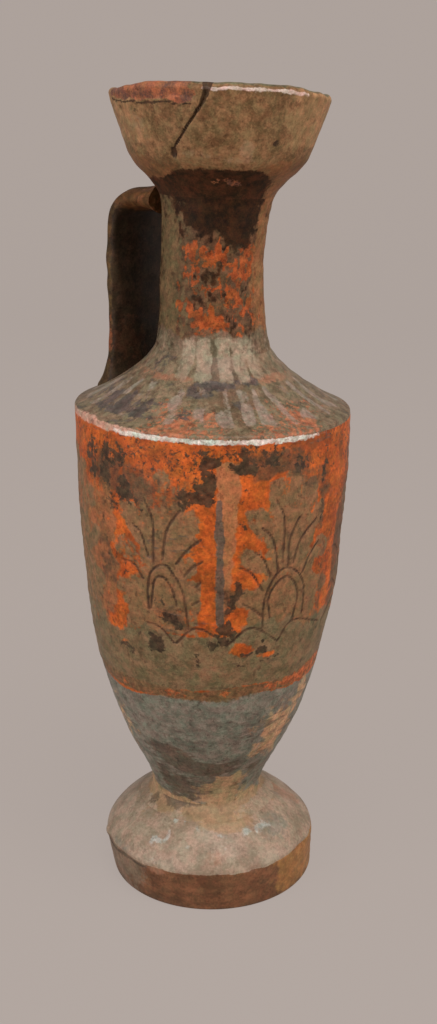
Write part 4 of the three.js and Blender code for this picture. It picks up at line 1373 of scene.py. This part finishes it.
def handleFields(across, out, along, length):
    share = along / length
    lowerWear = 0.6 * bell(share, 0.8, 0.1) * bell(across, 0.7, 0.7)
    return {
        # inner face of the strap darker: dark gloss, and painted shade towards the neck
        "inner": smooth(-out, -0.2, 0.6) * smooth(share, 0.12, 0.26),
        "lit": np.clip(0.42 * smooth(out, 0.2, 0.9) + 0.45 * bell(np.abs(across), 0.95, 0.25), 0, 1),
        "bared": np.clip(0.14 + lowerWear + 0.25 * bell(share, 0.04, 0.06), 0, 1),
        "top": 1 - smooth(share, 0.08, 0.3),
    }


def handleMaterial():
    layers = [
        coat("lit", (0.068, 0.037, 0.015), (0.115, 0.064, 0.025), size=2.5, softness=0.7,
             strength=0.85, roughness=0.6),
        coat("top", (0.06, 0.024, 0.008), (0.13, 0.054, 0.02), size=1.4, softness=0.8,
             strength=0.8, roughness=0.6, mottle=1.5),
        coat("bared", (0.14, 0.045, 0.02), (0.24, 0.09, 0.042), size=1.8, softness=0.3,
             strength=0.75, roughness=0.55, thickness=-0.03),
        # dark gloss and painted shade on the strap's inner face
        coat("inner", (0.014, 0.008, 0.005), (0.035, 0.02, 0.012), size=2.0, softness=0.5,
             strength=0.85, roughness=0.5),
    ]
    ground = clay((0.024, 0.013, 0.006), (0.055, 0.031, 0.015), size=3.0, roughness=0.6)
    return pottery("wornHandleGloss", ground, layers, grain=0.9, grainDepth=0.11, sheen=0.1)


def makeHandle():
    # one surface from inside the neck to inside the shoulder, cut across into the strap and its two
    # pads; near the pot it swells by a fillet times exp(-gap / filletReach), as smeared luting clay does
    look = handleLook
    line = handleLine()
    inward = drawnOut(line[0], line[1], look["intoNeck"])[::-1]
    downward = drawnOut(line[-1], line[-2], look["intoShoulder"])
    whole = np.vstack([inward, line, downward])
    sizes = (look["width"], look["thickness"], 120, 0.09, 91)
    plain = strap(whole, *sizes)[0]
    gap = wallGap(np.hypot(plain[..., 0], plain[..., 1]), plain[..., 2])
    fillet = np.interp(np.linspace(0, 1, len(whole)), [0.3, 0.7], look["fillets"])[:, None]
    swell = fillet * np.exp(-np.clip(gap, 0, None) / look["filletReach"])
    grid, across, out, along = strap(whole, *sizes, swell)
    below = np.interp(np.linspace(0, 1, len(whole)), [0.5, 0.7], [0, look["filletFall"]])[:, None]
    grid[..., 2] -= below * swell  # the clay smeared on the shoulder follows its slope down
    fields = handleFields(across, out, along, along.max())
    material = handleMaterial()
    first, last = len(inward), len(inward) + len(line)
    for name, node, rows in [
        ("upper_luting", "handle_upper_luting", slice(0, first + 1)),
        ("strap_handle", "handle", slice(first, last)),
        ("lower_luting", "handle_lower_luting", slice(last - 1, None)),
    ]:
        part = addPiece(name, grid[rows], {key: value[rows] for key, value in fields.items()}, closed=False)
        finishPiece(part, material, "handle_gloss", node)


makeFoot()
makeStemSlip()
makeHandle()


# Camera, floor and light
cameraLook = {
    "place": (0.0, -0.2611, 0.1608),  # metres
    "downward": 0.3062,  # radians below the level
    "aside": -0.0062,
    "roll": -0.004,
    "lens": 47.99,
    "sensor": 36.0,  # along the picture's long side, 437 by 1024
}
stageLook = {
    "colour": (0.43, 0.372, 0.342),
    "evenness": 0.9,
    "halfWidth": 1.6,
    "front": -1.2,
    "sweepStart": 0.7,
    "sweepRadius": 0.5,
    "wallHeight": 1.6,
}
lampLook = [
    {"name": "keyLamp", "place": (0.14, -0.3, 0.66), "across": 0.42, "power": 3.5, "tint": (1.0, 0.97, 0.93)},
    {"name": "fillLamp", "place": (-0.62, -0.5, 0.34), "across": 0.8, "power": 5.8, "tint": (1.0, 0.97, 0.94)},
    {"name": "sideLamp", "place": (0.72, -0.25, 0.24), "across": 0.6, "power": 3.4, "tint": (1.0, 0.93, 0.86)},
]
lampAim = (0, 0, 0.08)
worldTint = (1.0, 0.97, 0.94)
worldLevel = 0.42


def makeCamera():
    data = bpy.data.cameras.new("viewCamera")
    data.lens = cameraLook["lens"]
    data.sensor_width = cameraLook["sensor"]
    camera = bpy.data.objects.new("viewCamera", data)
    bpy.context.scene.collection.objects.link(camera)
    turnedMatrix = (Matrix.Rotation(cameraLook["aside"], 4, "Z")
                    @ Matrix.Rotation(math.pi / 2 - cameraLook["downward"], 4, "X")
                    @ Matrix.Rotation(cameraLook["roll"], 4, "Z"))
    camera.matrix_world = Matrix.Translation(cameraLook["place"]) @ turnedMatrix
    bpy.context.scene.camera = camera


def makeStage():
    # a level floor that curves up into a wall behind: a profile (y, z) carried along x
    start, curve = stageLook["sweepStart"], stageLook["sweepRadius"]
    angle = np.linspace(0, math.pi / 2, 24)
    bow = np.stack([start + curve * np.sin(angle), curve - curve * np.cos(angle)], axis=-1)
    profile = np.vstack([[(stageLook["front"], 0.0)], bow, [(start + curve, stageLook["wallHeight"])]])
    sides = np.array([-stageLook["halfWidth"], stageLook["halfWidth"]])
    points = np.array([(x, y, z) for y, z in profile for x in sides])
    count = len(profile) - 1
    faces = [(2 * i, 2 * i + 1, 2 * i + 3, 2 * i + 2) for i in range(count)]
    mesh = bpy.data.meshes.new("paleSweep")
    mesh.from_pydata(points.tolist(), [], faces)
    mesh.shade_smooth()
    sweep = bpy.data.objects.new("paleSweep", mesh)
    bpy.context.scene.collection.objects.link(sweep)
    material = bpy.data.materials.new("palePaper")
    material.use_nodes = True
    tree = material.node_tree
    shader = tree.nodes["Principled BSDF"]
    shader.inputs["Base Color"].default_value = opaque(stageLook["colour"])
    shader.inputs["Roughness"].default_value = 0.9
    shader.inputs["Specular IOR Level"].default_value = 0.1
    # seen straight on, in a gloss or through glass, most of the paper shows its own even colour, and
    # the rest of it keeps the shadow
    rays = tree.nodes.new("ShaderNodeLightPath").outputs
    seen = calc(tree, "MAXIMUM", rays["Is Camera Ray"], rays["Is Glossy Ray"])
    seen = calc(tree, "MAXIMUM", seen, rays["Is Transmission Ray"])
    even = tree.nodes.new("ShaderNodeEmission")
    even.inputs["Color"].default_value = opaque(stageLook["colour"])
    blend = tree.nodes.new("ShaderNodeMixShader")
    plug(tree, calc(tree, "MULTIPLY", seen, stageLook["evenness"]), blend.inputs[0])
    tree.links.new(shader.outputs["BSDF"], blend.inputs[1])
    tree.links.new(even.outputs["Emission"], blend.inputs[2])
    tree.links.new(blend.outputs["Shader"], tree.nodes["Material Output"].inputs["Surface"])
    mesh.materials.append(material)


def makeLight():
    for look in lampLook:
        data = bpy.data.lights.new(look["name"], "AREA")
        data.shape = "DISK"
        data.size = look["across"]
        data.energy = look["power"]
        data.color = look["tint"]
        lamp = bpy.data.objects.new(look["name"], data)
        bpy.context.scene.collection.objects.link(lamp)
        lamp.location = look["place"]
        toward = Vector(lampAim) - Vector(look["place"])
        lamp.rotation_mode = "QUATERNION"
        lamp.rotation_quaternion = toward.to_track_quat("-Z", "Y")
    # the world lights the pot evenly; where the camera sees it past the paper, it has the paper's colour
    world = bpy.data.worlds.new("softWorld")
    world.use_nodes = True
    tree = world.node_tree
    seen = tree.nodes.new("ShaderNodeLightPath").outputs["Is Camera Ray"]
    shown = mixed(tree, seen, opaque(worldTint), opaque(stageLook["colour"]))
    plug(tree, shown, tree.nodes["Background"].inputs["Color"])
    level = ranged(tree, seen, 0.0, 1.0, worldLevel, 1.0, "LINEAR")
    plug(tree, level, tree.nodes["Background"].inputs["Strength"])
    bpy.context.scene.world = world
    bpy.context.scene.view_settings.view_transform = "Standard"


makeCamera()
makeStage()
makeLight()
print("camera, floor and light set")
